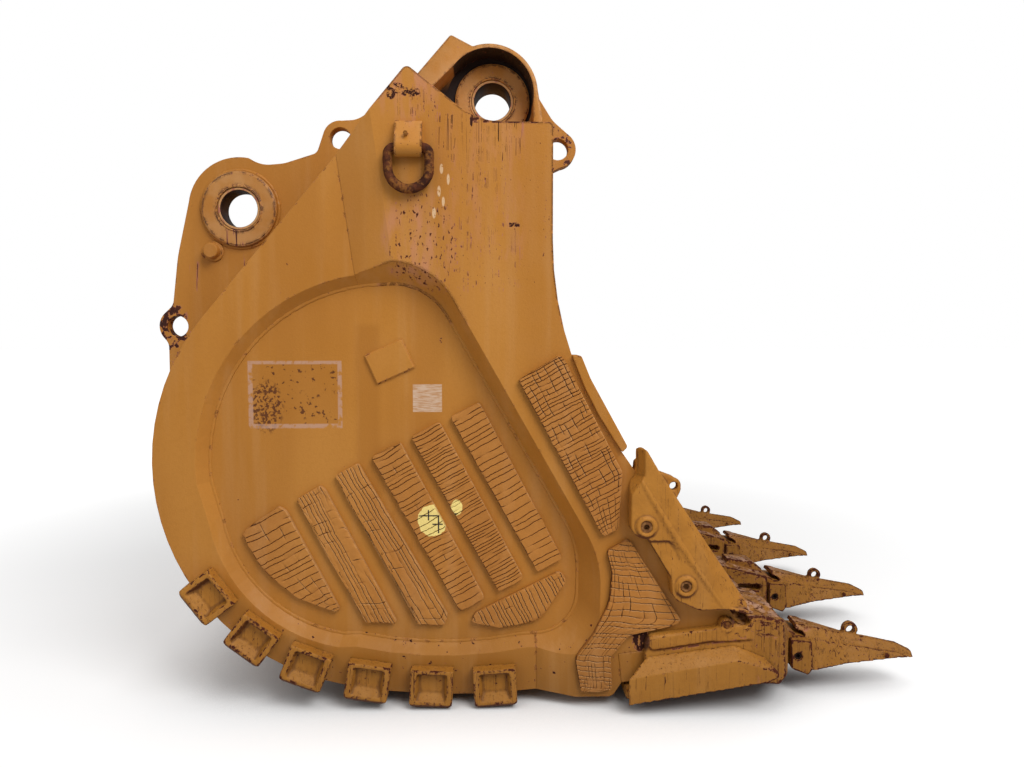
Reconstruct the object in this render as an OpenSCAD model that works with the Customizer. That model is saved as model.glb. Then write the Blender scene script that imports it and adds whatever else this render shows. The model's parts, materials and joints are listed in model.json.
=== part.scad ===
// Backhoe bucket of a large mining excavator, with its ground engaging tools.
// Origin: centre of the stick pin bore. +X digging direction, +Y left side, +Z up.

/* [Bucket] */
// Width over the thick side frames
bucket_width = 2800; // [2700:20:2900]
// Outer radius of the rolled heel
heel_radius = 1000; // [990:2:1006]
// Thickness of the rolled shell plates
shell_thickness = 40; // [30:2:60]
// Thickness of the cast lip plate
lip_thickness = 132; // [120:2:136]
// Spacing of the four tips along the lip
tip_pitch = 780; // [770:2:790]

/* [Hinge] */
// Radius of the stick pin and link pin bores
pin_radius = 90; // [80:1:95]
// Outer radius of the pin bushings
bushing_radius = 104; // [100:1:110]
// Outer radius of the pin bosses
boss_radius = 184; // [176:1:188]
// Thickness of each hinge web
web_thickness = 75; // [60:1:80]
// Outer face of each hinge web, from the centre plane
web_face = 775; // [760:5:800]
// Radius of the three eyes in each hinge web
eye_radius = 52; // [40:1:56]

/* [Side walls] */
// How far the long rim lies below the thick frame
rim_step = 50; // [40:2:60]
// How far the dished panel lies below the thick frame
panel_step = 100; // [90:2:110]
// Thickness of the dished panel
panel_thickness = 40; // [20:2:40]
// Thickness of the hardfaced strips and plates
wear_thickness = 25; // [16:1:30]

/* [Lifting rings] */
// Radius of the ring's round bar
ring_bar = 22; // [18:0.5:24]
// Half the spacing of the ring's two legs
ring_half = 86; // [80:1:90]

/* [Locks] */
// Radius of the turning locks in the wing shrouds
lock_radius = 24; // [20:0.5:26]
// Radius of the turning locks in the tips
tip_lock_radius = 16; // [13:0.5:18]
// Radial clearance of each lock in its bore
lock_gap = 0.05; // [0.02:0.01:0.09]

/* [Hidden] */
$fn = 64;

RIGHT = -1;
LEFT = 1;
big = 4000;
paint = "#c08a45";
worn_paint = "#b27c3c";
bare_steel = "#8f7a63";
steel = "#6b5a4c";

// Distances from the centre plane
frame_face = bucket_width / 2;
rim_face = frame_face - rim_step;
panel_face = frame_face - panel_step;
inner_face = panel_face - panel_thickness;

// Pin axes and eyes, as [x, z]
stick_pin = [0, 0];
link_pin = [-1248, -528];
front_eye = [326, -225];
upper_eye = [-752, -178];
lower_eye = [-1572, -1105];

// Heel arc, then the flatter belly arc that is tangent to it, then the straight floor
heel = [-473, -1708];
belly_radius = 2675;
heel_end = 258.5;
belly = heel + (heel_radius - belly_radius) * [cos(heel_end), sin(heel_end)];
belly_end = 276.9;
floor_slope = belly_end - 270;
floor_start = belly + belly_radius * [cos(belly_end), sin(belly_end)];
top_corner = [-362, -25];
heel_start = tangent_angle(top_corner, heel, heel_radius);
lip_rear = [560, floor_start[1] + (560 - floor_start[0]) * tan(floor_slope)];

// ---- Outline helpers: points are [x, z] or [x, z, corner radius] ----

function unit(v) = v / norm(v);

function tangent_angle(p, c, r) =
  atan2(p[1] - c[1], p[0] - c[0]) + acos(r / norm(p - c));

function arc(c, r, from, to) =
  let (steps = max(2, ceil(abs(to - from) / 5)))
  [for (i = [0:steps]) c + r * [cos(from + (to - from) * i / steps), sin(from + (to - from) * i / steps)]];

function turn(from, to) = ((to - from) % 360 + 540) % 360 - 180;

function corner(p, q, s, r) =
  let (
    a = unit(p - q),
    b = unit(s - q),
    half = acos(a * b) / 2,
    c = q + unit(a + b) * r / sin(half),
    t = q + a * r / tan(half),
    e = q + b * r / tan(half),
    start = atan2(t[1] - c[1], t[0] - c[0]),
    sweep = turn(start, atan2(e[1] - c[1], e[0] - c[0]))
  )
  arc(c, r, start, start + sweep);

function flat(p) = [p[0], p[1]];

function rounded(pts) =
  let (n = len(pts))
  [for (i = [0:n - 1])
    each (len(pts[i]) == 2 || pts[i][2] == 0
      ? [flat(pts[i])]
      : corner(flat(pts[(i + n - 1) % n]), flat(pts[i]), flat(pts[(i + 1) % n]), pts[i][2]))];

// Extrudes an [x, z] outline along Y, between two distances from the centre plane
module slab(from, to) {
  translate([0, to, 0]) rotate([90, 0, 0]) linear_extrude(height = to - from) children();
}

// Extrudes an [x, y] outline along Z
module layer(from, to) {
  translate([0, 0, from]) linear_extrude(height = to - from) children();
}

// A round bar along Y
module bar(c, r, from, to) {
  translate([c[0], to, c[1]]) rotate([90, 0, 0]) cylinder(h = to - from, r = r);
}

// Puts a left-hand piece on either side
module on_side(side) {
  mirror([0, side == RIGHT ? 1 : 0, 0]) children();
}

// ---- Shell outlines ----

// The rolled shell from its top corner to the rear of the lip, moved in by a distance
function shell_top(inset) =
  top_corner - inset * [cos(heel_start), sin(heel_start)];

function shell_heel(inset) = arc(heel, heel_radius - inset, heel_start, heel_end);

function shell_belly(inset) = arc(belly, belly_radius - inset, heel_end, belly_end);

function shell_end(inset) =
  lip_rear + inset * [-sin(floor_slope), cos(floor_slope)];

function reversed(pts) = [for (i = [len(pts) - 1:-1:0]) pts[i]];

lip_top_rear = lip_rear + lip_thickness * [-sin(floor_slope), cos(floor_slope)];
front_corner = [1120, lip_top_rear[1] + (1120 - lip_top_rear[0]) * tan(floor_slope)];

module side_outline() {
  polygon(rounded(concat(
    [[top_corner[0], top_corner[1], 25], [-69, -254, 290], [250, -256, 20], [250, -1209, 1510]],
    [front_corner, lip_top_rear, lip_rear, [520, -2738, 40], [355, -2738, 30]],
    reversed(shell_belly(0)),
    reversed(shell_heel(0))
  )));
}

// The thick frame covers the upper column, the front strip and the lip corner
module thick_zone() {
  polygon([
    [-735, 100], [-570, -1050], [-300, -1500], [186, -2350], [186, -2900], [1600, -2900], [1600, 100]
  ]);
}

// The dished panel: a D with its straight side along the front
function panel_points() = rounded(concat(
  arc([-440, -1195], 275, 30, 90),
  arc([-462, -1705], 782, 92, 186),
  arc([-560, -1844], 643, 190, 260),
  arc([-211, -798], 1722, 257, 281),
  [[370, -2480, 190], [378, -2080, 420]]
));

panel_centre = [-430, -1715];
panel_taper = 1.11;

// The funnel around the panel that opens outwards
module panel_funnel() {
  slab(inner_face - 10, panel_face + 0.01) polygon(panel_points());
  translate([panel_centre[0], panel_face, panel_centre[1]])
    mirror([0, 1, 0])
      rotate([90, 0, 0])
        linear_extrude(height = panel_step, scale = panel_taper)
          translate(-panel_centre) polygon(panel_points());
}

// A cutter above a plane that rises forwards from the rim to the frame
module ramp(x, z, tilt, width, low, high) {
  translate([x, rim_face, z])
    rotate([0, tilt, 0])
      rotate([0, 0, atan(rim_step / width)])
        translate([-900, 0, low]) cube([1800, 400, high - low]);
}

// ---- Side walls ----

module side_frame(side) {
  color(paint) on_side(side) difference() {
    slab(inner_face, frame_face) intersection() {
      side_outline();
      thick_zone();
    }
    panel_funnel();
    ramp(-640, -600, -8, 178, -420, 700);
    ramp(186, -2600, 0, 170, -200, 230);
  }
}

module side_rim(side) {
  color(paint) on_side(side) difference() {
    slab(inner_face, rim_face) difference() {
      side_outline();
      thick_zone();
    }
    panel_funnel();
  }
}

module side_panel(side) {
  color(worn_paint) on_side(side) slab(inner_face, panel_face) polygon(panel_points());
}

module edge_guard(side) {
  color(paint) on_side(side) slab(frame_face - 110, frame_face + 20) difference() {
    polygon(rounded([
      [300, -1230], [372, -1232, 15], [412, -1330, 250], [575, -1625, 15], [545, -1655], [440, -1560]
    ]));
    side_outline();
  }
}

// ---- Hardfaced strips and plates ----

strip_pitch = [173, 88];

module panel_strips(side) {
  color(worn_paint) on_side(side) slab(panel_face, panel_face + wear_thickness) {
    polygon(rounded([
      [-1110, -2010, 12], [-945, -1895, 15], [-912, -1915, 15],
      [-675, -2378, 12], [-860, -2315, 300], [-1020, -2180, 300]
    ]));
    polygon(rounded([
      [-868, -1865, 15], [-760, -1803, 15], [-738, -1825, 15], [-428, -2428, 12], [-575, -2420, 20]
    ]));
    polygon(rounded([
      [-700, -1762, 15], [-595, -1705, 15], [-206, -2390, 20], [-222, -2440, 15], [-340, -2432, 20]
    ]));
    for (i = [0:2])
      translate(i * strip_pitch)
        polygon(rounded([[-538, -1680, 15], [-411, -1613, 15], [-41, -2316, 15], [-152, -2378, 15]]));
    polygon(rounded([
      [-104, -2424, 12], [-86, -2384, 12], [294, -2196, 25],
      [325, -2238, 25], [205, -2419, 120], [26, -2454, 20]
    ]));
  }
}

module corner_plates(side) {
  color(worn_paint) on_side(side) slab(frame_face, frame_face + wear_thickness) {
    polygon(rounded([
      [102, -1335, 15], [280, -1229, 15], [306, -1263, 15],
      [552, -1733, 40], [538, -1982, 20], [470, -2016, 15]
    ]));
    polygon(rounded([
      [488, -2078, 15], [583, -2026, 20], [640, -2115, 60], [816, -2390, 15], [800, -2408, 15],
      [590, -2453, 40], [508, -2550, 30], [515, -2690, 15], [498, -2705, 10], [378, -2706, 12],
      [352, -2553, 60], [430, -2455, 200], [500, -2309, 200], [511, -2176, 60]
    ]));
  }
}

badge_size = [176, 132];
badge_depth = 14;

module badge_plates() {
  color(paint) for (side = [RIGHT, LEFT]) on_side(side)
    slab(panel_face, panel_face + badge_depth)
      translate([-455, -1262]) rotate(24) square(badge_size, center = true);
}

// ---- Heel shrouds ----

shroud_width = 190;
shroud_reach = 174;
shroud_overhang = 42;
shroud_cheek = 65;
shroud_leg = 235;
pocket_height = 132;
pocket_reach = 120;
pocket_depth = 32;
pocket_shift = 6;

module heel_shroud(c, r, angle) {
  place = c + (r - shroud_reach / 2 + shroud_overhang) * [cos(angle), sin(angle)];
  difference() {
    union() {
      slab(rim_face, rim_face + shroud_cheek)
        translate(place) rotate(angle) square([shroud_reach, shroud_width], center = true);
      slab(rim_face + shroud_cheek - shroud_leg, rim_face) difference() {
        translate(place) rotate(angle) square([shroud_reach, shroud_width], center = true);
        side_outline();
      }
    }
    slab(rim_face + shroud_cheek - pocket_depth, rim_face + shroud_cheek + 1)
      translate(place - pocket_shift * [cos(angle), sin(angle)])
        rotate(angle) square([pocket_reach, pocket_height], center = true);
  }
}

module heel_shrouds(side) {
  color(worn_paint) on_side(side) {
    for (i = [0:2]) heel_shroud(heel, heel_radius, 216.5 + 16 * i);
    for (i = [0:2]) heel_shroud(belly, belly_radius, 260.9 + 6.1 * i);
  }
}

// ---- Rolled shell ----

module back_sheet() {
  color(paint) slab(-inner_face, inner_face) intersection() {
    polygon([shell_top(0), shell_heel(0)[0], shell_heel(shell_thickness)[0], shell_top(shell_thickness)]);
    side_outline();
  }
}

module heel_wrapper() {
  color(paint) slab(-inner_face, inner_face)
    polygon(concat(
      shell_heel(0), shell_belly(0),
      reversed(shell_belly(shell_thickness)), reversed(shell_heel(shell_thickness))
    ));
}

// Gap between plate ends that meet at a slope
weld_gap = 0.01;

module floor_plate() {
  color(paint) slab(-inner_face, inner_face)
    polygon([
      floor_start, shell_end(0) - [weld_gap, 0], shell_end(shell_thickness) - [weld_gap, 0],
      belly + (belly_radius - shell_thickness) * [cos(belly_end), sin(belly_end)]
    ]);
}

tube_plate = 40;
tube_bottom = -720;

// Everything behind the inner face of the back sheet
module behind_back_sheet() {
  polygon([
    shell_top(-400), shell_heel(-400)[0], shell_heel(shell_thickness)[0], shell_top(shell_thickness)
  ]);
}

// Top of the torque tube: follows the top edge of the side walls and turns down the front
module torque_tube_cap() {
  color(paint) slab(-inner_face, inner_face) difference() {
    intersection() {
      polygon([
        [-600, 100], [400, 100], [400, tube_bottom], [250 - tube_plate, tube_bottom],
        [250 - tube_plate, -256 - tube_plate], [-83, -254 - tube_plate], [-390, -60]
      ]);
      side_outline();
    }
    behind_back_sheet();
  }
}

module torque_tube_liner() {
  color(paint) slab(-inner_face, inner_face) difference() {
    polygon(rounded([
      [250, tube_bottom], [250, -790, 55], [-420, -740, 260], [-760, -420],
      [-700, -340], [-400, -700, 220], [210, -748, 20], [210, tube_bottom]
    ]));
    behind_back_sheet();
  }
}

// ---- Lip ----

lip_wide = frame_face;
lip_outer = 570;
lip_middle = 745;
lip_bevel = 70;

// Local frame of the lip: rear bottom edge at the origin, sloping up with the floor
module lip_frame() {
  translate([lip_rear[0], 0, lip_rear[1]]) rotate([0, -floor_slope, 0]) children();
}

// The spade-shaped plan: straight across the middle, swept back towards the corners
lip_straight = 0.69 * tip_pitch;

function lip_plan(grow) = [
  [0, -lip_wide], [lip_outer + grow, -lip_wide], [lip_middle + grow, -lip_straight],
  [lip_middle + grow, lip_straight], [lip_outer + grow, lip_wide], [0, lip_wide]
];

module lip_plate() {
  color(paint) lip_frame() hull() {
    layer(0, lip_thickness) polygon(lip_plan(-lip_bevel));
    layer(lip_thickness / 2 - 25, lip_thickness / 2) polygon(lip_plan(0));
  }
}

// ---- Tips, their noses and locks ----

// Each tip has its own frame: its origin on the adapter's end, +X towards the point
outer_tip = [1380, -2610];
inner_tip = [1555, -2610];
outer_y = 1.5 * tip_pitch;
inner_y = 0.5 * tip_pitch;
// The corner adapters turn the outer tips outwards a little
splay = 5;
tip_eye = [293, 84];
tip_lock_place = [21, -2];
lock_inside = -98;
lock_outside = -126;
ear_face = 132;

module outer_place(side) {
  translate([outer_tip[0], side * outer_y, outer_tip[1]]) rotate([0, 0, side * splay]) children();
}

module inner_place(side) {
  translate([inner_tip[0], side * inner_y, inner_tip[1]]) children();
}

// A box given by its ends along X, half width and height range
module block(from, to, half, low, high) {
  translate([from, -half, low]) cube([to - from, 2 * half, high - low]);
}

// A thin slice of a tip: narrow at the top, wide at the bottom
module slice(x, low, high, half_low, half_high) {
  translate([x, 0, 0])
    rotate([90, 0, 90])
      linear_extrude(height = 1)
        polygon([[-half_low, low], [half_low, low], [half_high, high], [-half_high, high]]);
}

// The nose that carries a tip, grown by a gap
module nose(grow) {
  hull() {
    block(-60, 0, 92 + grow, -56 - grow, 88 + grow);
    block(236 + grow, 240 + grow, 50 + grow, -30 - grow, 30 + grow);
  }
}

module tip() {
  color(worn_paint) difference() {
    union() {
      hull() {
        slice(5, -72, 128, 122, 84);
        slice(104, -72, 107, 120, 66);
      }
      hull() {
        slice(104, -72, 107, 120, 66);
        slice(250, -45, 71, 102, 40);
      }
      hull() {
        slice(250, -45, 71, 102, 40);
        slice(500, -27, 28, 64, 24);
      }
      hull() {
        slice(500, -27, 28, 64, 24);
        slice(574, -34, -10, 47, 38);
      }
      slab(-ear_face, ear_face)
        polygon(rounded([[-16, 76, 8], [82, 68, 8], [90, -60, 8], [68, -90, 8], [-8, -62, 8]]));
      bar(tip_eye, 36, -16, 16);
      block(tip_eye[0] - 22, tip_eye[0] + 22, 16, 30, tip_eye[1]);
    }
    nose(2);
    bar(tip_eye, 17, -40, 40);
    bar(tip_lock_place, tip_lock_radius + lock_gap, -ear_face - 10, lock_inside + 24);
  }
}

// Every tip has its lock in the right-hand face, near its rear edge
module tip_lock() {
  color(steel) difference() {
    bar(tip_lock_place, tip_lock_radius, lock_outside, lock_inside);
    bar(tip_lock_place, tip_lock_radius - 6, lock_outside - 1, lock_outside + 14, $fn = 6);
  }
}

// ---- Adapters on the lip ----

// The room that the lip takes up, with a 1 mm gap in front of it
module lip_space() {
  lip_frame() layer(0, lip_thickness) polygon(lip_plan(1));
}

module inner_adapter(side) {
  color(worn_paint) difference() {
    inner_place(side) {
      nose(0);
      hull() {
        block(-80, -20, 126, -84, 112);
        block(-330, -320, 128, -80, 190);
      }
      hull() {
        block(-330, -320, 128, -10, 190);
        block(-700, -690, 110, -10, 96);
      }
      hull() {
        block(-330, -320, 128, -100, 0);
        block(-560, -550, 110, -140, 0);
      }
    }
    lip_space();
  }
}

adapter_face = frame_face + 40;
corner_eye = [1011, -2404];
corner_eye_radius = 13;

module corner_adapter(side) {
  color(worn_paint) on_side(side) difference() {
    union() {
      outer_place(LEFT) nose(0);
      hull() {
        outer_place(LEFT) block(-80, -24, 128, -84, 110);
        slab(outer_y - 150, adapter_face)
          polygon([[1120, -2670], [1120, -2368], [1262, -2386], [1280, -2640], [1250, -2678]]);
      }
      slab(outer_y - 110, adapter_face) polygon(rounded([
        [655, -2668, 20], [655, -2450, 45], [985, -2414, 200], [1060, -2368, 90],
        [1180, -2368], [1180, -2675]
      ]));
      bar(corner_eye, 30, frame_face, adapter_face);
    }
    lip_space();
    slab(0, frame_face + 0.5) side_outline();
    bar(corner_eye, corner_eye_radius, frame_face - 100, runner_face);
    runner_shape(1);
  }
}

// ---- Corner runners: the skids under and beside the lip corners ----

runner_face = 1500;
runner_inner = 1215;

module runner_shape(gap) {
  slab(runner_inner - gap, adapter_face + gap)
    polygon([[575, -2733], [1180, -2641], [1180, -2625 + gap], [575, -2690 + gap]]);
  hull() {
    slab(adapter_face + gap, adapter_face + 2 + gap) polygon([
      [590, -2733], [662, -2539], [1044, -2492], [1180, -2547], [1230, -2612], [1180, -2641]
    ]);
    slab(runner_face - 2, runner_face) polygon([
      [575, -2733], [575, -2615], [1050, -2541], [1228, -2597], [1230, -2619], [1180, -2641]
    ]);
  }
}

module corner_runners() {
  color(worn_paint) for (side = [RIGHT, LEFT]) on_side(side) difference() {
    runner_shape(0);
    lip_space();
    slab(0, frame_face) side_outline();
  }
}

// ---- Wing shrouds on the lower front edge of the side walls ----

wing_face = frame_face + 80;
upper_lock = [646, -1959];
lower_lock = [819, -2219];
wing_eye = [777, -1798];
wing_eye_radius = 17;
wing_cheek = 55;
wing_reach = 200;
wing_boss = 42;
wing_boss_height = 10;
wing_lock_length = 54;
wing_lock_proud = 6;
socket_radius = 14;
socket_depth = 16;

function wing_points() = rounded([
  [640, -1618, 26], [598, -1640, 26], [596, -1745, 20], [580, -1800, 25], [580, -2000, 60], [655, -2015, 30],
  [755, -2180, 40], [765, -2275, 50], [880, -2327, 80], [1010, -2325, 30], [1094, -2348, 15],
  [1100, -2312, 25], [700, -1722, 40]
]);

// Only the outer plate carries the horn, so the part around the wall's edge stops below it
above_horn = [[500, -1590], [720, -1590], [716, -1742], [640, -1765], [500, -1765]];

module wing_shroud(side) {
  color(worn_paint) on_side(side) difference() {
    union() {
      slab(frame_face + 1, wing_face) polygon(wing_points());
      slab(frame_face - wing_reach, frame_face + 1) difference() {
        polygon(wing_points());
        offset(delta = 1) side_outline();
        polygon(above_horn);
      }
      slab(frame_face - wing_reach, frame_face - wing_reach + wing_cheek) polygon(rounded([
        [640, -1700, 20], [620, -1900, 40], [870, -2290, 40], [1060, -2300], [700, -1722, 40]
      ]));
      slab(frame_face - 30, frame_face + 10) polygon(rounded([
        [700, -1728], [776, -1756, 34], [816, -1806, 34], [788, -1862], [740, -1810]
      ]));
      for (lock = [upper_lock, lower_lock])
        bar(lock, wing_boss, wing_face - wing_boss_height, wing_face + wing_boss_height);
    }
    bar(wing_eye, wing_eye_radius, frame_face - 60, frame_face + 40);
    for (lock = [upper_lock, lower_lock])
      bar(lock, lock_radius + lock_gap, wing_face + wing_lock_proud - wing_lock_length - 2, wing_face + 20);
  }
}

module wing_lock(side, p) {
  color(steel) on_side(side) difference() {
    bar(p, lock_radius, wing_face + wing_lock_proud - wing_lock_length, wing_face + wing_lock_proud);
    bar(p, socket_radius, wing_face - socket_depth, wing_face + wing_lock_proud + 1, $fn = 6);
  }
}

// ---- Hinge webs, bosses, bushings and guards ----

guard_centre = [-15, 0];
guard_inner = 209;
guard_outer = 231;
guard_face = web_face + 155;
lug_radius = 90;

module web_outline() {
  difference() {
    polygon(rounded(concat(
      [[240, -440], [262, -350, 40]],
      arc(front_eye, lug_radius, -80, 45),
      [[300, -85, 160]],
      arc(guard_centre, guard_outer, 15, 125),
      [[-330, 100, 80], [-430, -10, 100], [-590, -38, 80], [-670, -88, 120]],
      arc(upper_eye, 86, 85, 160),
      [[-868, -250, 40], [-1030, -302, 200], [-1140, -312, 150]],
      arc(link_pin, 255, 80, 172),
      [[-1562, -760, 600], [-1592, -1000, 60]],
      arc(lower_eye, lug_radius, 130, 215),
      [[-1618, -1190, 60], [-1620, -1500, 400], [-1480, -1860, 200], [-1400, -2000]],
      [[-400, -1000], [200, -500]]
    )));
    side_outline();
  }
}

module hinge_web(side) {
  color(paint) on_side(side) difference() {
    slab(web_face - web_thickness, web_face) web_outline();
    bar(stick_pin, boss_radius, 0, big);
    bar(link_pin, boss_radius, 0, big);
    for (eye = [front_eye, upper_eye, lower_eye]) bar(eye, eye_radius, 0, big);
  }
}

// The guard casting: an arch around the pin boss with a flag towards the back
module pin_guard(side) {
  color(paint) on_side(side) slab(web_face, guard_face) difference() {
    polygon(rounded(concat(
      [[216, -235], [240, -120, 60]],
      arc(guard_centre, guard_outer, 5, 110),
      [[-198, 270, 15], [-425, 10], [-380, -10], [-260, -60]]
    )));
    polygon(rounded(concat(
      [[194, -300]],
      arc(guard_centre, guard_inner, 0, 140),
      [[-250, 62, 60], [-340, -30], [-340, -300]]
    )));
    side_outline();
  }
}

stick_boss_length = 190;
link_boss_length = 130;
stick_boss_face = web_face + 15;
link_boss_face = web_face + 25;

module tube_bar(c, outer, inner, from, to) {
  difference() {
    bar(c, outer, from, to);
    bar(c, inner, from - 1, to + 1);
  }
}

module stick_pin_bosses() {
  color(paint) for (side = [RIGHT, LEFT]) on_side(side)
    tube_bar(stick_pin, boss_radius, bushing_radius, stick_boss_face - stick_boss_length, stick_boss_face);
}

module link_pin_bosses() {
  color(paint) for (side = [RIGHT, LEFT]) on_side(side)
    tube_bar(link_pin, boss_radius, bushing_radius, link_boss_face - link_boss_length, link_boss_face);
}

module stick_pin_bushings() {
  color(bare_steel) for (side = [RIGHT, LEFT]) on_side(side)
    tube_bar(stick_pin, bushing_radius, pin_radius, stick_boss_face - stick_boss_length, stick_boss_face);
}

module link_pin_bushings() {
  color(bare_steel) for (side = [RIGHT, LEFT]) on_side(side)
    tube_bar(link_pin, bushing_radius, pin_radius, link_boss_face - link_boss_length, link_boss_face);
}

stub_place = [-1383, -735];

module pin_stop_stubs() {
  color(paint) for (side = [RIGHT, LEFT]) on_side(side) {
    bar(stub_place, 50, web_face, web_face + 12);
    bar(stub_place, 36, web_face + 12, web_face + 55);
  }
}

// ---- Lifting rings ----

ring_centre = [-352, -372];
ring_axis = frame_face + ring_bar + 8;
ring_leg = 82;
ring_bend = 30;
bracket_gap = 2;
bracket_wall = 16;
bracket_width = 112;
bracket_above = 112;
bracket_below = 26;

module ring_brackets() {
  color(paint) for (side = [RIGHT, LEFT]) on_side(side)
    translate([ring_centre[0], 0, ring_centre[1]]) difference() {
      rotate([0, 90, 0]) hull() {
        translate([0, ring_axis, 0])
          cylinder(h = bracket_width, r = ring_bar + bracket_wall, center = true, $fn = 32);
        translate([-bracket_above, frame_face, -bracket_width / 2])
          cube([bracket_above + bracket_below, bracket_wall, bracket_width]);
      }
      translate([0, ring_axis, 0])
        rotate([0, 90, 0]) cylinder(h = 200, r = ring_bar + bracket_gap, center = true);
      translate([-100, frame_face - 100, -200]) cube([200, 100, 400]);
    }
}

module lifting_ring(side) {
  color(steel) on_side(side) translate([ring_centre[0], ring_axis, ring_centre[1]]) {
    rotate([0, 90, 0]) cylinder(h = 2 * (ring_half - ring_bend), r = ring_bar, center = true);
    for (end = [0, 1]) mirror([end, 0, 0]) {
      translate([ring_half, 0, -ring_leg]) cylinder(h = ring_leg - ring_bend, r = ring_bar);
      translate([ring_half - ring_bend, 0, -ring_bend]) rotate([90, 0, 0])
        rotate_extrude(angle = 90) translate([ring_bend, 0]) circle(r = ring_bar);
    }
    translate([0, 0, -ring_leg]) rotate([90, 0, 0]) rotate([0, 0, 180])
      rotate_extrude(angle = 180) translate([ring_half, 0]) circle(r = ring_bar);
  }
}

// ---- Lip shrouds between the tips ----

shroud_length = 300;
shroud_cover = 48;
side_shroud_half = 200;
centre_shroud_half = 235;
shroud_boss = 46;

// A jaw over the lip's front edge, in the lip's own frame, centred on its width
module lip_jaw(half) {
  hull() {
    block(-shroud_length, -40, half, -shroud_cover + 12, lip_thickness + shroud_cover);
    block(20, 60, half - 10, 24, lip_thickness / 2 + 12);
  }
  translate([-30, 0, lip_thickness + shroud_cover - 20]) cylinder(h = 30, r = shroud_boss);
}

module lip_shroud(u, y, angle, half) {
  color(worn_paint) difference() {
    lip_frame() translate([u, y, 0]) rotate(angle) lip_jaw(half);
    lip_space();
  }
}

sweep = (lip_middle - lip_outer) / (lip_wide - lip_straight);
slant = atan(sweep);
slant_middle = lip_middle - sweep * (tip_pitch - lip_straight);

module side_lip_shroud(side) {
  lip_shroud(slant_middle, side * tip_pitch, side * slant, side_shroud_half);
}

side_frame(RIGHT);  // right_side_frame
side_frame(LEFT);  // left_side_frame
side_rim(RIGHT);  // right_side_rim
side_rim(LEFT);  // left_side_rim
side_panel(RIGHT);  // right_side_panel
side_panel(LEFT);  // left_side_panel
edge_guard(RIGHT);  // right_edge_guard
edge_guard(LEFT);  // left_edge_guard
panel_strips(RIGHT);  // right_panel_strips
panel_strips(LEFT);  // left_panel_strips
corner_plates(RIGHT);  // right_corner_plates
corner_plates(LEFT);  // left_corner_plates
badge_plates();
heel_shrouds(RIGHT);  // right_heel_shrouds
heel_shrouds(LEFT);  // left_heel_shrouds
wing_shroud(RIGHT);  // right_wing_shroud
wing_shroud(LEFT);  // left_wing_shroud
corner_adapter(RIGHT);  // right_corner_adapter
corner_adapter(LEFT);  // left_corner_adapter
corner_runners();
hinge_web(RIGHT);  // right_hinge_web
hinge_web(LEFT);  // left_hinge_web
pin_guard(RIGHT);  // right_pin_guard
pin_guard(LEFT);  // left_pin_guard
stick_pin_bosses();
link_pin_bosses();
stick_pin_bushings();
link_pin_bushings();
ring_brackets();
pin_stop_stubs();
back_sheet();
heel_wrapper();
floor_plate();
torque_tube_cap();
torque_tube_liner();
lip_plate();
inner_adapter(RIGHT);  // right_inner_adapter
inner_adapter(LEFT);  // left_inner_adapter
side_lip_shroud(RIGHT);  // right_lip_shroud
lip_shroud(lip_middle, 0, 0, centre_shroud_half);  // centre_lip_shroud
side_lip_shroud(LEFT);  // left_lip_shroud
outer_place(RIGHT) tip();  // right_outer_tip
inner_place(RIGHT) tip();  // right_inner_tip
inner_place(LEFT) tip();  // left_inner_tip
outer_place(LEFT) tip();  // left_outer_tip
lifting_ring(RIGHT);  // right_lifting_ring
lifting_ring(LEFT);  // left_lifting_ring
wing_lock(RIGHT, upper_lock);  // right_upper_wing_lock
wing_lock(RIGHT, lower_lock);  // right_lower_wing_lock
wing_lock(LEFT, upper_lock);  // left_upper_wing_lock
wing_lock(LEFT, lower_lock);  // left_lower_wing_lock
outer_place(RIGHT) tip_lock();  // right_outer_tip_lock
inner_place(RIGHT) tip_lock();  // right_inner_tip_lock
inner_place(LEFT) tip_lock();  // left_inner_tip_lock
outer_place(LEFT) tip_lock();  // left_outer_tip_lock
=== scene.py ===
"""Looks of the excavator bucket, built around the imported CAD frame. Metres throughout."""
import json
import math
import random

import bmesh
import bpy
import numpy as np
from mathutils import Matrix, Vector, noise


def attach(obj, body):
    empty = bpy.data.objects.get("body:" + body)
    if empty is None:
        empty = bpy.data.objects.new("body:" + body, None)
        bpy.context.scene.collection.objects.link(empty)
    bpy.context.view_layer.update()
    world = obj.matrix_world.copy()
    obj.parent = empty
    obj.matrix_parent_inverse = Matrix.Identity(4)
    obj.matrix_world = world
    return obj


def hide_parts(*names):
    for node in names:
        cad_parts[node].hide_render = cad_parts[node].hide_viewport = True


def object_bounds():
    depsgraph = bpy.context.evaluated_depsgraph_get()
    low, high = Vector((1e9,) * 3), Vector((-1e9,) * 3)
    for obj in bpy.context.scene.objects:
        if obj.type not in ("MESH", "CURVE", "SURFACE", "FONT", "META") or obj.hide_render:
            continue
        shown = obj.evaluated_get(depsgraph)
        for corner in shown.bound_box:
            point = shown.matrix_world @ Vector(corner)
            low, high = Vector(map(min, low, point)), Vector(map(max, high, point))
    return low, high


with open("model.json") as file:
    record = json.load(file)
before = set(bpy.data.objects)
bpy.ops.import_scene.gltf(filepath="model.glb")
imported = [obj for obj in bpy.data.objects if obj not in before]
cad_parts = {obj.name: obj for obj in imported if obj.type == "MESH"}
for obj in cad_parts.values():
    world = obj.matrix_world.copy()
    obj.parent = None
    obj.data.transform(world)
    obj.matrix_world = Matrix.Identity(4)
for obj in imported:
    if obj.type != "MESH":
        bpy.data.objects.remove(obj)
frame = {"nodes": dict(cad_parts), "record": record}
nodes = frame["nodes"]
cad_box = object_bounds()
ground_z = cad_box[0].z

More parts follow.
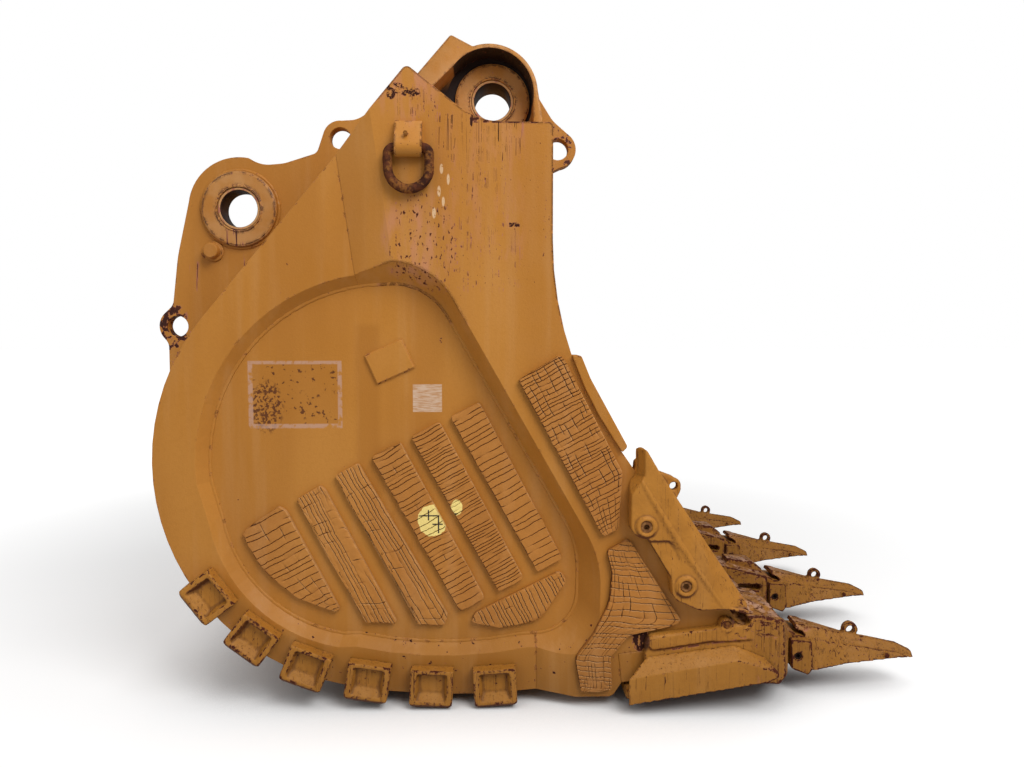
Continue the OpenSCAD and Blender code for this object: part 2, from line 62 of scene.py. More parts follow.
RIGHT = -1
LEFT = 1
SIDES = (("right", RIGHT), ("left", LEFT))
BODY_OF = {node: body for body, members in frame["record"]["behaviour"]["bodies"].items() for node in members}
SLOT_OF = {part["node"]: part["material_slot"] for part in frame["record"]["subparts"]}


# ---- Shader helpers ----

class Shader:
    """Builds one material's nodes. Every method but finish returns a socket."""

    def __init__(self, name):
        self.material = bpy.data.materials.new(name)
        self.material.use_nodes = True
        self.tree = self.material.node_tree
        self.tree.nodes.clear()
        self.surface = self.tree.nodes.new("ShaderNodeBsdfPrincipled")
        output = self.tree.nodes.new("ShaderNodeOutputMaterial")
        self.tree.links.new(self.surface.outputs[0], output.inputs[0])
        place = self.tree.nodes.new("ShaderNodeTexCoord")
        self.place = place.outputs["Object"]
        self.x, self.y, self.z = self.split(self.place)
        self.off_centre = self.math("ABSOLUTE", self.y)

    def node(self, kind, inputs, output=0, **settings):
        made = self.tree.nodes.new(kind)
        for key, value in settings.items():
            setattr(made, key, value)
        self.fill(made, inputs)
        return made.outputs[output]

    def fill(self, node, inputs):
        """Links or sets a node's inputs."""
        for key, value in inputs.items():
            if isinstance(value, bpy.types.NodeSocket):
                self.tree.links.new(value, node.inputs[key])
            else:
                node.inputs[key].default_value = value

    def math(self, operation, a, b=0.0):
        return self.node("ShaderNodeMath", {0: a, 1: b}, operation=operation)

    def plus(self, a, b):
        return self.math("ADD", a, b)

    def minus(self, a, b):
        return self.math("SUBTRACT", a, b)

    def split(self, vector):
        made = self.tree.nodes.new("ShaderNodeSeparateXYZ")
        self.tree.links.new(vector, made.inputs[0])
        return made.outputs

    def stretch(self, scale):
        return self.node("ShaderNodeMapping", {0: self.place, 3: scale})

    def upright(self, squeeze):
        """A place whose heights are squeezed, so that a noise on it stands in tall streaks."""
        return self.stretch((1.0, 1.0, squeeze))

    def normal(self):
        """The X, Y and Z parts of the surface's own direction."""
        return self.split(self.tree.nodes.new("ShaderNodeNewGeometry").outputs["Normal"])

    def right_side(self):
        return self.below(self.y, -0.5, -0.4)

    def noise(self, scale, detail=4.0, place=None, rough=0.55):
        inputs = {"Vector": place or self.place, "Scale": scale, "Detail": detail, "Roughness": rough}
        return self.node("ShaderNodeTexNoise", inputs)

    def cloud(self, low, high, *settings):
        """A noise with these settings: 0 where it is below low, 1 where it is above high."""
        return self.above(self.noise(*settings), low, high)

    def above(self, value, low, high):
        """0 below low, 1 above high, smooth between."""
        inputs = {0: value, 1: low, 2: high, 3: 0.0, 4: 1.0}
        return self.node("ShaderNodeMapRange", inputs, interpolation_type="SMOOTHSTEP")

    def below(self, value, low, high):
        """1 below low, 0 above high, smooth between."""
        inputs = {0: value, 1: low, 2: high, 3: 1.0, 4: 0.0}
        return self.node("ShaderNodeMapRange", inputs, interpolation_type="SMOOTHSTEP")

    def mix(self, share, a, b):
        a = (*a, 1.0) if isinstance(a, tuple) else a
        b = (*b, 1.0) if isinstance(b, tuple) else b
        inputs = {0: share, 6: a, 7: b}
        return self.node("ShaderNodeMix", inputs, 2, data_type="RGBA")

    def blend(self, share, a, b):
        return self.node("ShaderNodeMix", {0: share, 2: a, 3: b}, 0, data_type="FLOAT")

    def times(self, *values):
        result = values[0]
        for value in values[1:]:
            result = self.math("MULTIPLY", result, value)
        return result

    def most(self, *values):
        result = values[0]
        for value in values[1:]:
            result = self.math("MAXIMUM", result, value)
        return result

    def ellipse(self, x, z, half_x, half_z):
        """0 at the centre of an ellipse in the side view, 1 on its line."""
        across = self.math("DIVIDE", self.minus(self.x, x), half_x)
        along = self.math("DIVIDE", self.minus(self.z, z), half_z)
        return self.plus(self.times(across, across), self.times(along, along))

    def spot(self, x, z, half_x, half_z, edge=0.35):
        """1 inside an ellipse in the side view, fading out over the edge share beyond it."""
        return self.below(self.ellipse(x, z, half_x, half_z), 1.0 - edge, 1.0 + edge)

    def band(self, value, low, high, edge):
        """1 between low and high, fading out over the edge width."""
        risen = self.above(value, low - edge, low + edge)
        return self.times(risen, self.below(value, high - edge, high + edge))

    def box(self, low_x, high_x, low_z, high_z, edge=0.02):
        return self.times(self.band(self.x, low_x, high_x, edge), self.band(self.z, low_z, high_z, edge))

    def streaks(self, scale, low, high, tall=0.07):
        """Thin upright strokes, each starting at its own height."""
        start = self.times(self.noise(scale * 0.7, 1.0, self.upright(0.0)), 0.5)
        height = self.plus(self.times(self.z, tall), start)
        place = self.node("ShaderNodeCombineXYZ", {0: self.x, 1: self.y, 2: height})
        return self.above(self.noise(scale, 2.0, place), low, high)

    def attribute(self, name):
        return self.node("ShaderNodeAttribute", {}, "Fac", attribute_name=name)

    def worn_edge(self, radius, low, high):
        """High on convex and concave edges: how far a rounded normal leans away from the true one."""
        round_normal = self.node("ShaderNodeBevel", {"Radius": radius}, samples=4)
        true_normal = self.tree.nodes.new("ShaderNodeNewGeometry").outputs["Normal"]
        dot = self.node("ShaderNodeVectorMath", {0: round_normal, 1: true_normal}, 1, operation="DOT_PRODUCT")
        return self.below(dot, low, high)

    def bump(self, height, distance):
        return self.node("ShaderNodeBump", {"Height": height, "Distance": distance, "Strength": 1.0})

    def finish(self, colour, roughness, normal=None, gloss=0.3):
        colour = (*colour, 1.0) if isinstance(colour, tuple) else colour
        inputs = {"Base Color": colour, "Roughness": roughness, "Specular IOR Level": gloss}
        if normal is not None:
            inputs["Normal"] = normal
        self.fill(self.surface, inputs)
        return self.material


# ---- Colours, linear ----

OCHRE = (0.455, 0.184, 0.027)
OCHRE_DARK = (0.35, 0.130, 0.016)
OCHRE_LIGHT = (0.51, 0.228, 0.045)
FADED = (0.52, 0.27, 0.10)
CAST_BASE = (0.39, 0.166, 0.021)
PRIMER = (0.40, 0.145, 0.085)
PALE = (0.50, 0.30, 0.22)
RUST = (0.075, 0.017, 0.007)
DARK = (0.035, 0.009, 0.005)
PALE_GLUE = (0.62, 0.45, 0.33)
YELLOW = (0.85, 0.66, 0.22)
# Painted shade for the inside of the pin guards' arches.
ARCH_SHADE = (0.022, 0.012, 0.009)
CRACK = (0.060, 0.013, 0.004)
# Painted shade for the lower part of the paint.
PAINTED_LOW_SHADE = (0.27, 0.112, 0.018)
STAIN = (0.50, 0.21, 0.12)
SCUFF = (0.70, 0.48, 0.28)
MARKER = (0.012, 0.012, 0.02)
# Painted shade for faces of the bosses and guards that look up.
BOSS_TOP_SHADE = (0.27, 0.13, 0.045)
CAST_DUST = (0.25, 0.094, 0.012)
# Painted shade for the castings' hollows.
CAST_HOLLOW_SHADE = (0.10, 0.035, 0.010)
TIP_PAINT = (0.27, 0.112, 0.016)
STRIP_BLOT = (0.30, 0.11, 0.02)
# Painted shade for the bores of the bushings.
BORE_SHADE = (0.045, 0.022, 0.016)
BORE_SHADE_DEEP = (0.02, 0.01, 0.008)
RING_DARK = (0.035, 0.010, 0.005)
RING_RUST = (0.10, 0.028, 0.010)
RING_PAINT = (0.24, 0.090, 0.018)
LOCK_LIGHT = (0.26, 0.12, 0.04)
LOCK_DULL = (0.16, 0.065, 0.022)
# Painted shade for the locks deep in the tips.
LOCK_HOLE_SHADE = (0.02, 0.009, 0.006)


def paint_colour(s):
    """Faded ochre: broad clouds, faint vertical wash marks, fine mottling, and painted shade that darkens it
    towards the bottom.
    """
    clouds = s.cloud(0.35, 0.68, 1.1, 3.0)
    bands = s.cloud(0.42, 0.62, 3.0, 2.0, s.upright(0.12))
    wash = s.cloud(0.45, 0.72, 14.0, 3.0, s.upright(0.07))
    fine = s.cloud(0.4, 0.7, 70.0, 3.0)
    colour = s.mix(s.times(clouds, 0.5), OCHRE, OCHRE_LIGHT)
    colour = s.mix(s.times(bands, 0.42), colour, OCHRE_DARK)
    # Painted shade: darker towards the bottom.
    colour = s.mix(s.times(s.below(s.z, -2.74, -2.26), 0.85), colour, PAINTED_LOW_SHADE)
    colour = s.mix(s.times(wash, 0.22), colour, FADED)
    return s.mix(s.times(fine, 0.14), colour, OCHRE_DARK)


def chip(s, colour, amount):
    """Takes the paint off where amount is high: a pink primer rim, then dark rust inside it."""
    colour = s.mix(s.times(s.above(amount, 0.26, 0.40), 0.8), colour, PRIMER)
    colour = s.mix(s.above(amount, 0.40, 0.54), colour, RUST)
    return s.mix(s.above(amount, 0.60, 0.80), colour, DARK)


def plate_marks(s):
    """Rust of the side walls, by place in the side view, with painted shade mixed into it in the gap behind
    the corner adapter.
    """
    strokes = s.times(s.streaks(60.0, 0.560, 0.595, 0.11), s.cloud(0.40, 0.48, 22.0, 3.0))
    blots = s.noise(70.0, 4.0, s.upright(0.55))
    small = s.noise(120.0, 3.0, s.upright(0.6))
    ragged = s.cloud(0.42, 0.56, 26.0, 5.0)
    torn = s.cloud(0.46, 0.53, 64.0, 7.0, None, 0.75)
    smears = s.most(s.spot(-0.405, -0.124, 0.040, 0.022, 0.6), s.spot(-0.345, -0.138, 0.045, 0.020, 0.6),
                    s.spot(-0.425, -0.150, 0.018, 0.020, 0.5))
    corner = s.times(smears, torn)
    corner_runs = s.times(s.box(-0.43, -0.22, -0.26, -0.10, 0.04), strokes, s.above(blots, 0.4, 0.5))
    corner = s.most(corner, s.times(corner_runs, 0.6))
    top_runs = s.times(s.box(-0.24, 0.12, -0.42, -0.22, 0.05), strokes)
    long_runs = s.times(s.box(-0.20, 0.10, -0.80, -0.24, 0.08), s.above(strokes, 0.5, 0.9), ragged)
    under_ring = s.times(s.spot(-0.30, -0.76, 0.16, 0.24, 0.6), s.above(blots, 0.56, 0.64))
    column = s.times(s.box(-0.46, 0.26, -1.02, -0.10, 0.12), s.above(small, 0.665, 0.71))
    low_runs = s.times(s.box(-0.26, 0.14, -0.98, -0.72, 0.06), strokes, ragged)
    front_edge = s.times(s.box(0.205, 0.27, -0.85, -0.22, 0.025), s.above(blots, 0.60, 0.67))
    mark = s.times(s.box(0.064, 0.110, -0.691, -0.672, 0.004), s.above(small, 0.40, 0.48))
    mark_runs = s.times(s.box(0.064, 0.110, -0.80, -0.69, 0.01), s.streaks(150.0, 0.54, 0.60, 0.04))
    top_edge = s.times(s.box(-0.10, 0.27, -0.262, -0.24, 0.003), ragged)
    # Painted shade with rust: a dark blot in the gap behind the corner adapter.
    adapter_shade = s.times(s.spot(0.640, -2.475, 0.035, 0.06, 0.6), s.above(blots, 0.36, 0.5))
    rust = s.most(
        s.times(corner, 0.95), s.times(top_runs, 0.85), s.times(long_runs, 0.50), s.times(under_ring, 0.66),
        s.times(column, 0.72), s.times(front_edge, 0.62), s.times(mark, 0.8), s.times(mark_runs, 0.5),
        s.times(top_edge, 0.66), s.times(low_runs, 0.5), s.times(adapter_shade, 0.9),
    )
    rust = s.times(rust, s.above(s.off_centre, 1.28, 1.34))
    low_chips = s.times(s.box(-1.9, 0.9, -2.8, -2.40, 0.06), s.cloud(0.63, 0.69, 34.0, 5.0))
    sparse = s.cloud(0.715, 0.75, 30.0, 5.0, s.upright(0.6))
    return s.most(rust, s.times(low_chips, 0.8), s.times(sparse, 0.62))


def rust_bloom(s, colour):
    """Pinkish stains around the rust of the side walls."""
    soft = s.cloud(0.42, 0.68, 20.0, 4.0, s.upright(0.25))
    below_ring = s.times(s.spot(-0.32, -0.74, 0.15, 0.20, 0.7), 0.6)
    corner = s.times(s.spot(-0.36, -0.14, 0.12, 0.14, 0.6), 0.6)
    top_runs = s.times(s.box(-0.20, 0.12, -0.80, -0.24, 0.08), 0.28)
    below_mark = s.times(s.spot(0.05, -0.72, 0.07, 0.10, 0.7), 0.5)
    place = s.most(below_ring, corner, top_runs, below_mark)
    return s.mix(s.times(place, soft), colour, STAIN)


def scuffs(s, colour):
    """Pale scratches beside and below the lifting ring."""
    place = s.most(s.spot(-0.218, -0.452, 0.007, 0.020), s.spot(-0.190, -0.495, 0.006, 0.022),
                   s.spot(-0.229, -0.544, 0.007, 0.022), s.spot(-0.211, -0.587, 0.006, 0.020),
                   s.spot(-0.250, -0.634, 0.008, 0.022))
    ragged = s.cloud(0.34, 0.46, 60.0, 4.0)
    return s.mix(s.times(place, ragged, 0.8), colour, SCUFF)


def paint_patches(s, colour):
    """Two dabs of bright yellow paint on the strips, with plain crossing strokes of a marker."""
    this_side = s.right_side()
    ragged = s.times(s.minus(s.noise(40.0, 2.0), 0.5), 0.55)
    dabs = []
    for ellipse in ((-0.272, -1.962, 0.066, 0.072), (-0.165, -1.905, 0.026, 0.036)):
        dabs.append(s.below(s.plus(s.ellipse(*ellipse), ragged), 0.93, 1.0))
    colour = s.mix(s.times(s.most(*dabs), this_side), colour, YELLOW)
    strokes = []
    for low_x, high_x, low_z, high_z in (
        (-0.330, -0.245, -1.944, -1.938), (-0.292, -0.286, -1.962, -1.915),
        (-0.248, -0.242, -2.020, -1.938), (-0.272, -0.226, -1.982, -1.976),
        (-0.178, -0.160, -1.935, -1.930),
    ):
        strokes.append(s.box(low_x, high_x, low_z, high_z, 0.0015))
    return s.mix(s.times(s.most(*strokes), this_side), colour, MARKER)


def label_residue(s, colour):
    """What old labels left on the right-hand panel: a glue frame with blotched paint, and a blank patch."""
    this_side = s.right_side()
    outer = s.box(-1.070, -0.664, -1.553, -1.258, 0.003)
    inner = s.box(-1.050, -0.682, -1.534, -1.272, 0.003)
    torn = s.cloud(0.36, 0.52, 30.0, 5.0)
    glue = s.times(outer, s.minus(1.0, inner), torn)
    blotches = s.times(inner, s.cloud(0.585, 0.64, 52.0, 5.0))
    heavy = s.times(s.spot(-0.99, -1.46, 0.07, 0.11), s.cloud(0.49, 0.55, 60.0, 4.0))
    washed = s.cloud(0.3, 0.5, 9.0, 3.0, s.upright(0.2))
    run = s.times(s.box(-0.605, -0.500, -1.85, -1.10, 0.02), washed)
    colour = s.mix(s.times(s.most(s.times(inner, 0.35), s.times(run, 0.5)), this_side), colour, OCHRE_DARK)
    colour = s.mix(s.times(s.most(blotches, heavy), this_side, 0.85), colour, RUST)
    colour = s.mix(s.times(glue, this_side, 0.7), colour, PALE)
    scratches = s.cloud(0.47, 0.55, 300.0, 2.0, s.stretch((0.06, 1.0, 1.0)))
    small = s.times(s.box(-0.355, -0.228, -1.483, -1.362, 0.002), this_side)
    left_over = s.minus(0.85, s.times(scratches, 0.5))
    return s.mix(s.times(small, left_over), colour, PALE_GLUE)


def shell_paint(name, label=False):
    """Plate paint. The panels carry the label's remains, and the other plates the rust marks."""
    s = Shader(name)
    colour = paint_colour(s)
    corners = s.worn_edge(0.020, 0.86, 0.99)
    edge = s.times(s.above(corners, 0.55, 0.9), s.cloud(0.53, 0.64, 24.0, 5.0, None, 0.65))
    upper = s.times(s.box(-0.50, 0.30, -1.1, 0.1, 0.05), s.cloud(0.36, 0.50, 40.0, 5.0))
    edge = s.most(edge, s.times(s.above(corners, 0.3, 0.7), upper, 1.25))
    if label:
        colour = label_residue(s, colour)
        marks = s.times(s.cloud(0.70, 0.75, 20.0, 5.0), 0.8)
    else:
        colour = scuffs(s, rust_bloom(s, colour))
        marks = plate_marks(s)
    colour = chip(s, colour, s.most(marks, s.times(edge, 0.62)))
    rough = s.blend(s.cloud(0.35, 0.65, 6.0, 3.0), 0.38, 0.55)
    rough = s.blend(s.above(s.most(marks, edge), 0.3, 0.6), rough, 0.95)
    return s.finish(colour, rough, s.bump(s.noise(120.0, 3.0), 0.0008), gloss=0.22)


def web_paint():
    """The hinge webs: plain paint with rust runs below the bores and at the rear eye, and near-black painted
    shade inside the pin guard's arch.
    """
    s = Shader("web_paint")
    colour = paint_colour(s)
    runs = s.cloud(0.46, 0.64, 40.0, 3.0, s.upright(0.06))
    drips = s.most(s.box(-1.30, -1.20, -0.98, -0.70, 0.03), s.box(-1.52, -1.42, -0.94, -0.78, 0.03))
    rear_eye = s.times(s.spot(-1.60, -1.13, 0.09, 0.16, 0.7), s.cloud(0.42, 0.58, 34.0, 4.0))
    front_eye = s.times(s.spot(0.30, -0.22, 0.15, 0.2, 0.6), s.cloud(0.50, 0.62, 34.0, 5.0))
    edge = s.times(s.worn_edge(0.016, 0.82, 0.98), s.cloud(0.50, 0.62, 34.0, 5.0, None, 0.65))
    sparse = s.cloud(0.70, 0.745, 24.0, 5.0)
    marks = s.most(s.times(drips, runs, 0.55), s.times(rear_eye, 0.75), s.times(front_eye, 0.62),
                   s.times(edge, 0.7), s.times(sparse, 0.6))
    colour = chip(s, colour, marks)
    # Painted shade: near black inside the pin guard's arch and softly to its left, on the outer faces only.
    arch = s.most(s.spot(-0.015, 0.0, 0.214, 0.214, 0.02), s.spot(-0.19, -0.05, 0.19, 0.15, 0.6))
    outside = s.above(s.off_centre, 0.765, 0.772)
    colour = s.mix(s.times(arch, outside), colour, ARCH_SHADE)
    return s.finish(colour, 0.50, s.bump(s.noise(120.0, 3.0), 0.0008), gloss=0.2)


def boss_paint():
    """Machined boss faces and the guards: faded paint chipped to pink primer, with painted shade on faces
    that look up and near-black painted shade inside the guard's arch.
    """
    s = Shader("boss_paint")
    colour = s.mix(s.times(s.cloud(0.35, 0.65, 7.0, 3.0), 0.5), paint_colour(s), FADED)
    level = s.normal()[2]
    # Painted shade: faces that look up are darkened.
    colour = s.mix(s.times(s.above(level, 0.35, 0.8), 0.6), colour, BOSS_TOP_SHADE)
    edge = s.times(s.worn_edge(0.022, 0.84, 0.985), s.cloud(0.44, 0.54, 34.0, 5.0, None, 0.7))
    blots = s.cloud(0.62, 0.69, 40.0, 5.0)
    boss = s.spot(0.0, 0.0, 0.186, 0.186, 0.01)
    # Painted shade: near black inside the guard's arch, round the boss.
    inside_arch = s.times(s.spot(-0.015, 0.0, 0.2115, 0.2115, 0.01), s.minus(1.0, boss))
    run = s.cloud(0.46, 0.62, 44.0, 3.0, s.upright(0.06))
    drips = s.times(s.box(-1.33, -1.17, -0.80, -0.62, 0.02), run)
    colour = s.mix(inside_arch, colour, ARCH_SHADE)
    colour = chip(s, colour, s.most(s.times(edge, 0.78), s.times(blots, 0.42), s.times(drips, 0.62)))
    return s.finish(colour, 0.5, s.bump(s.noise(110.0, 3.0), 0.001))


def casting_marks(s, patchy, tips, lip_place):
    """Where the castings have lost their paint. The mesh carries how worn its edges are."""
    worn = s.attribute("worn")
    bare = s.plus(s.times(s.minus(patchy, 0.5), 4.0), s.times(tips, 0.42))
    rims = s.above(s.plus(worn, bare), 0.86, 1.2)
    clean = s.box(0.50, 1.16, -2.30, -1.50, 0.03)
    rims = s.times(rims, s.minus(1.0, s.times(clean, 0.75)))
    crags = s.cloud(0.52, 0.58, 46.0, 8.0, s.stretch((0.7, 1.0, 1.2)), 0.75)
    nose_top = s.times(s.box(1.03, 1.36, -2.47, -2.27, 0.03), crags)
    crown_top = s.times(s.box(1.25, 1.58, -2.52, -2.38, 0.03), crags)
    along = s.minus(s.z, s.plus(s.times(s.x, 0.145), -2.622))
    rail = s.times(s.band(along, -0.007, 0.004, 0.003), s.band(s.x, 0.715, 1.08, 0.01))
    rail_line = s.times(rail, s.cloud(0.44, 0.54, 30.0, 5.0))
    patches = s.cloud(0.45, 0.53, 20.0, 3.0)
    tip_strokes = s.times(s.streaks(64.0, 0.575, 0.62, 0.16), tips, patches)
    strokes = s.most(s.streaks(90.0, 0.635, 0.68, 0.2), tip_strokes)
    lip_zone = s.times(lip_place, s.cloud(0.585, 0.66, 30.0, 6.0, None, 0.7))
    heel_low = s.times(s.below(s.x, 0.30, 0.45), s.cloud(0.60, 0.66, 70.0, 5.0, None, 0.7))
    heel_zone = s.times(heel_low, s.above(s.plus(s.times(worn, 0.3), s.noise(14.0, 3.0)), 0.42, 0.55))
    return s.most(
        s.times(rims, 0.66), s.times(strokes, 0.66), s.times(lip_zone, 0.56), s.times(heel_zone, 0.6),
        s.times(nose_top, 0.62), s.times(crown_top, 0.62), s.times(rail_line, 0.5),
    )


def casting_paint():
    """Rough castings: mottled paint, painted shade in the corners and hollows, undersides darkened to rust
    colour, and chips.
    """
    s = Shader("casting_paint")
    dust = s.cloud(0.42, 0.7, 11.0, 4.0)
    colour = s.mix(0.40, paint_colour(s), CAST_BASE)
    colour = s.mix(s.times(dust, 0.28), colour, CAST_DUST)
    # Painted shade: darker where the surface is hollow.
    colour = s.mix(s.times(s.above(s.attribute("hollow"), 0.10, 0.8), 0.55), colour, CAST_HOLLOW_SHADE)
    patchy = s.noise(52.0, 6.0, None, 0.72)
    tips = s.above(s.x, 1.05, 1.2)
    lip_place = s.above(s.x, 1.02, 1.16)
    colour = s.mix(s.times(tips, 0.6), colour, TIP_PAINT)
    level = s.normal()[2]
    high = s.above(s.z, -2.53, -2.47)
    rubbed = s.cloud(0.44, 0.56, 22.0, 5.0)
    worn_top = s.times(s.above(level, 0.35, 0.8), lip_place, high, rubbed)
    colour = s.mix(s.times(worn_top, 0.6), colour, PALE)
    # Faces that look down are darkened to rust colour.
    ragged = s.times(s.minus(patchy, 0.5), 1.2)
    under = s.above(s.plus(s.times(level, -1.0), ragged), 0.14, 0.55)
    colour = s.mix(s.times(under, 0.85), colour, RUST)
    # Painted shade: near black in the hollow below the wing shroud, and painted shade with rust at the rail's
    # rear end.
    shade_and_rust_spots = s.most(s.spot(1.062, -2.378, 0.044, 0.022, 0.5), s.spot(0.655, -2.470, 0.020, 0.05, 0.6))
    colour = s.mix(s.times(shade_and_rust_spots, 0.9), colour, DARK)
    marks = casting_marks(s, patchy, tips, lip_place)
    colour = chip(s, colour, marks)
    bare = s.above(marks, 0.3, 0.6)
    relief = s.minus(s.noise(80.0, 4.0), s.times(bare, 0.5))
    return s.finish(colour, s.blend(bare, 0.52, 0.95), s.bump(relief, 0.002), gloss=0.2)


def hardfacing():
    """Painted hardfacing: pinkish ochre with dark cracks, which the mesh carries as an attribute, with
    painted shade on edges that face left and down and a painted highlight on edges that face right and up.
    """
    s = Shader("hardfacing")
    colour = s.mix(0.12, paint_colour(s), PRIMER)
    blots = s.cloud(0.50, 0.68, 30.0, 5.0)
    colour = s.mix(s.times(blots, 0.12), colour, STRIP_BLOT)
    colour = paint_patches(s, colour)
    crack = s.attribute("crack")
    ragged = s.plus(crack, s.times(s.minus(s.noise(160.0, 2.0), 0.5), 0.35))
    colour = s.mix(s.times(s.above(ragged, 0.12, 0.42), 0.30), colour, CRACK)
    colour = s.mix(s.times(s.above(ragged, 0.42, 0.70), 0.9), colour, CRACK)
    facing = s.normal()
    lean = s.plus(facing[0], facing[2])
    # Painted shade, in the crack colour, on faces that lean left and down.
    colour = s.mix(s.times(s.below(lean, -0.75, -0.35), 0.85), colour, CRACK)
    # Painted highlight on faces that lean right and up.
    colour = s.mix(s.times(s.above(lean, 0.45, 0.75), 0.55), colour, FADED)
    return s.finish(colour, 0.58, s.bump(s.noise(150.0, 4.0), 0.0015), gloss=0.2)


def bushing_steel():
    """Painted end faces, and bores painted near black as shade."""
    s = Shader("bushing_steel")
    end = s.above(s.math("ABSOLUTE", s.normal()[1]), 0.6, 0.9)
    turned = s.noise(60.0, 3.0)
    # Painted shade: the bores are near black.
    bore_shade = s.mix(s.cloud(0.4, 0.62, 24.0), BORE_SHADE, BORE_SHADE_DEEP)
    colour = s.mix(end, bore_shade, s.mix(s.cloud(0.52, 0.62, 34.0, 4.0), FADED, PRIMER))
    return s.finish(colour, s.blend(turned, 0.4, 0.62), s.bump(turned, 0.0006))


def rusty_steel():
    """The lifting rings: dark rust with worn paint left in places."""
    s = Shader("rusty_steel")
    colour = s.mix(s.cloud(0.38, 0.62, 30.0, 5.0), RING_DARK, RING_RUST)
    flakes = s.cloud(0.38, 0.52, 80.0, 5.0)
    paint_left = s.times(s.cloud(0.49, 0.58, 18.0, 6.0, None, 0.65), flakes)
    colour = s.mix(s.times(paint_left, 0.75), colour, RING_PAINT)
    return s.finish(colour, 0.8, s.bump(s.noise(70.0, 5.0), 0.003), gloss=0.15)


def lock_steel():
    """The turning locks: dull brown steel, with painted shade making those deep in the tips almost black."""
    s = Shader("lock_steel")
    colour = s.mix(s.cloud(0.4, 0.6, 60.0, 4.0), LOCK_LIGHT, LOCK_DULL)
    # Painted shade: the locks deep in the tips are almost black.
    tip_pin_shade = s.above(s.x, 1.2, 1.3)
    colour = s.mix(tip_pin_shade, colour, LOCK_HOLE_SHADE)
    return s.finish(colour, 0.8, s.bump(s.noise(120.0), 0.001), gloss=0.12)


MATERIALS = {
    "shell_paint": shell_paint("shell_paint"),
    "casting_paint": casting_paint(),
    "hardfacing": hardfacing(),
    "bushing_steel": bushing_steel(),
    "rusty_steel": rusty_steel(),
    "lock_steel": lock_steel(),
}
PANEL_PAINT = shell_paint("panel_paint", label=True)
WEB_PAINT = web_paint()
BOSS_PAINT = boss_paint()


def material_of(node):
    """A CAD node's material: its slot's own, but for the panels, the webs, and the bosses and pin guards."""
    if "side_panel" in node:
        return PANEL_PAINT
    if "hinge_web" in node:
        return WEB_PAINT
    if "bosses" in node or "guard" in node and "edge" not in node:
        return BOSS_PAINT
    return MATERIALS[SLOT_OF[node]]


# ---- Closed forms: lists of points and faces, made from millimetres, kept in metres ----

MM = 0.001
MERGE = 0.00005


def prism(outline, low, high):
    """The XZ outline, extruded along Y."""
    count = len(outline)
    points = [Vector((x, y, z)) * MM for y in (low, high) for x, z in outline]
    faces = [tuple(range(count)), tuple(reversed(range(count, 2 * count)))]
    faces += [(i, i + count, (i + 1) % count + count, (i + 1) % count) for i in range(count)]
    return points, faces


def circle(centre, radius, steps=40):
    turns = [2 * math.pi / steps * i for i in range(steps)]
    return [(centre[0] + radius * math.cos(turn), centre[1] + radius * math.sin(turn)) for turn in turns]


def drum(centre, radius, low, high, steps=40):
    return prism(circle(centre, radius, steps), low, high)


def lists_of(form):
    """The points and faces of a bmesh, which is freed."""
    form.verts.index_update()
    points = [v.co.copy() for v in form.verts]
    faces = [tuple(v.index for v in face.verts) for face in form.faces]
    form.free()
    return points, faces


def hull(*groups):
    """The convex hull of all the given points, in millimetres."""
    form = bmesh.new()
    for group in groups:
        for point in group:
            form.verts.new(Vector(point) * MM)
    made = bmesh.ops.convex_hull(form, input=form.verts)
    inside = [part for part in made["geom_interior"] if isinstance(part, bmesh.types.BMVert)]
    bmesh.ops.delete(form, geom=inside, context="VERTS")
    return lists_of(form)


def block(x0, x1, y0, y1, z0, z1):
    return [(x, y, z) for x in (x0, x1) for y in (y0, y1) for z in (z0, z1)]


def resample(path, step):
    """Points every step along a closed path of (x, z), in millimetres."""
    spots = []
    left = 0.0
    for (ax, az), (bx, bz) in zip(path, path[1:] + path[:1]):
        length = math.hypot(bx - ax, bz - az)
        while left < length:
            share = left / length
            spots.append((ax + (bx - ax) * share, az + (bz - az) * share))
            left += step
        left -= length
    return spots


def ring_faces(rings, steps):
    """The faces of a closed tube of rings of points."""
    faces = []
    for i in range(rings):
        for j in range(steps):
            a, b, k = i * steps, (i + 1) % rings * steps, (j + 1) % steps
            faces.append((a + j, a + k, b + k, b + j))
    return faces


def bead(path, y, radius, step=6.0, steps=7, lumps=0.25, flat=0.7):
    """A weld bead: a lumpy, slightly flattened tube along a closed XZ path at one Y."""
    spots = resample(path, step)
    count = len(spots)
    points = []
    for i, (x, z) in enumerate(spots):
        before = spots[i - 1]
        after = spots[(i + 1) % count]
        along = Vector((after[0] - before[0], 0, after[1] - before[1])).normalized()
        side = Vector((along.z, 0, -along.x))
        size = radius * (1 + lumps * noise.noise(Vector((x, y, z)) / 14) + 0.12 * lumps * (-1) ** i)
        for j in range(steps):
            angle = 2 * math.pi * j / steps
            out = side * math.cos(angle) * size + Vector((0, 1, 0)) * math.sin(angle) * size * flat
            points.append((Vector((x, y, z)) + out) * MM)
    return points, ring_faces(count, steps)


def lathe(centre, profile, steps=72):
    """A ring about an axis along Y. The closed profile is (radius, y)."""
    points = []
    for i in range(steps):
        angle = 2 * math.pi * i / steps
        for radius, y in profile:
            x = centre[0] + radius * math.cos(angle)
            z = centre[1] + radius * math.sin(angle)
            points.append(Vector((x, y, z)) * MM)
    return points, ring_faces(steps, len(profile))


def placed(form, place):
    """The form moved by a matrix whose translation is in millimetres."""
    move = Matrix.Translation(place.translation * MM) @ place.to_3x3().to_4x4()
    return [move @ point for point in form[0]], form[1]


def flipped(form):
    """The mirror image on the other side of the bucket."""
    return [Vector((p.x, -p.y, p.z)) for p in form[0]], [tuple(reversed(face)) for face in form[1]]


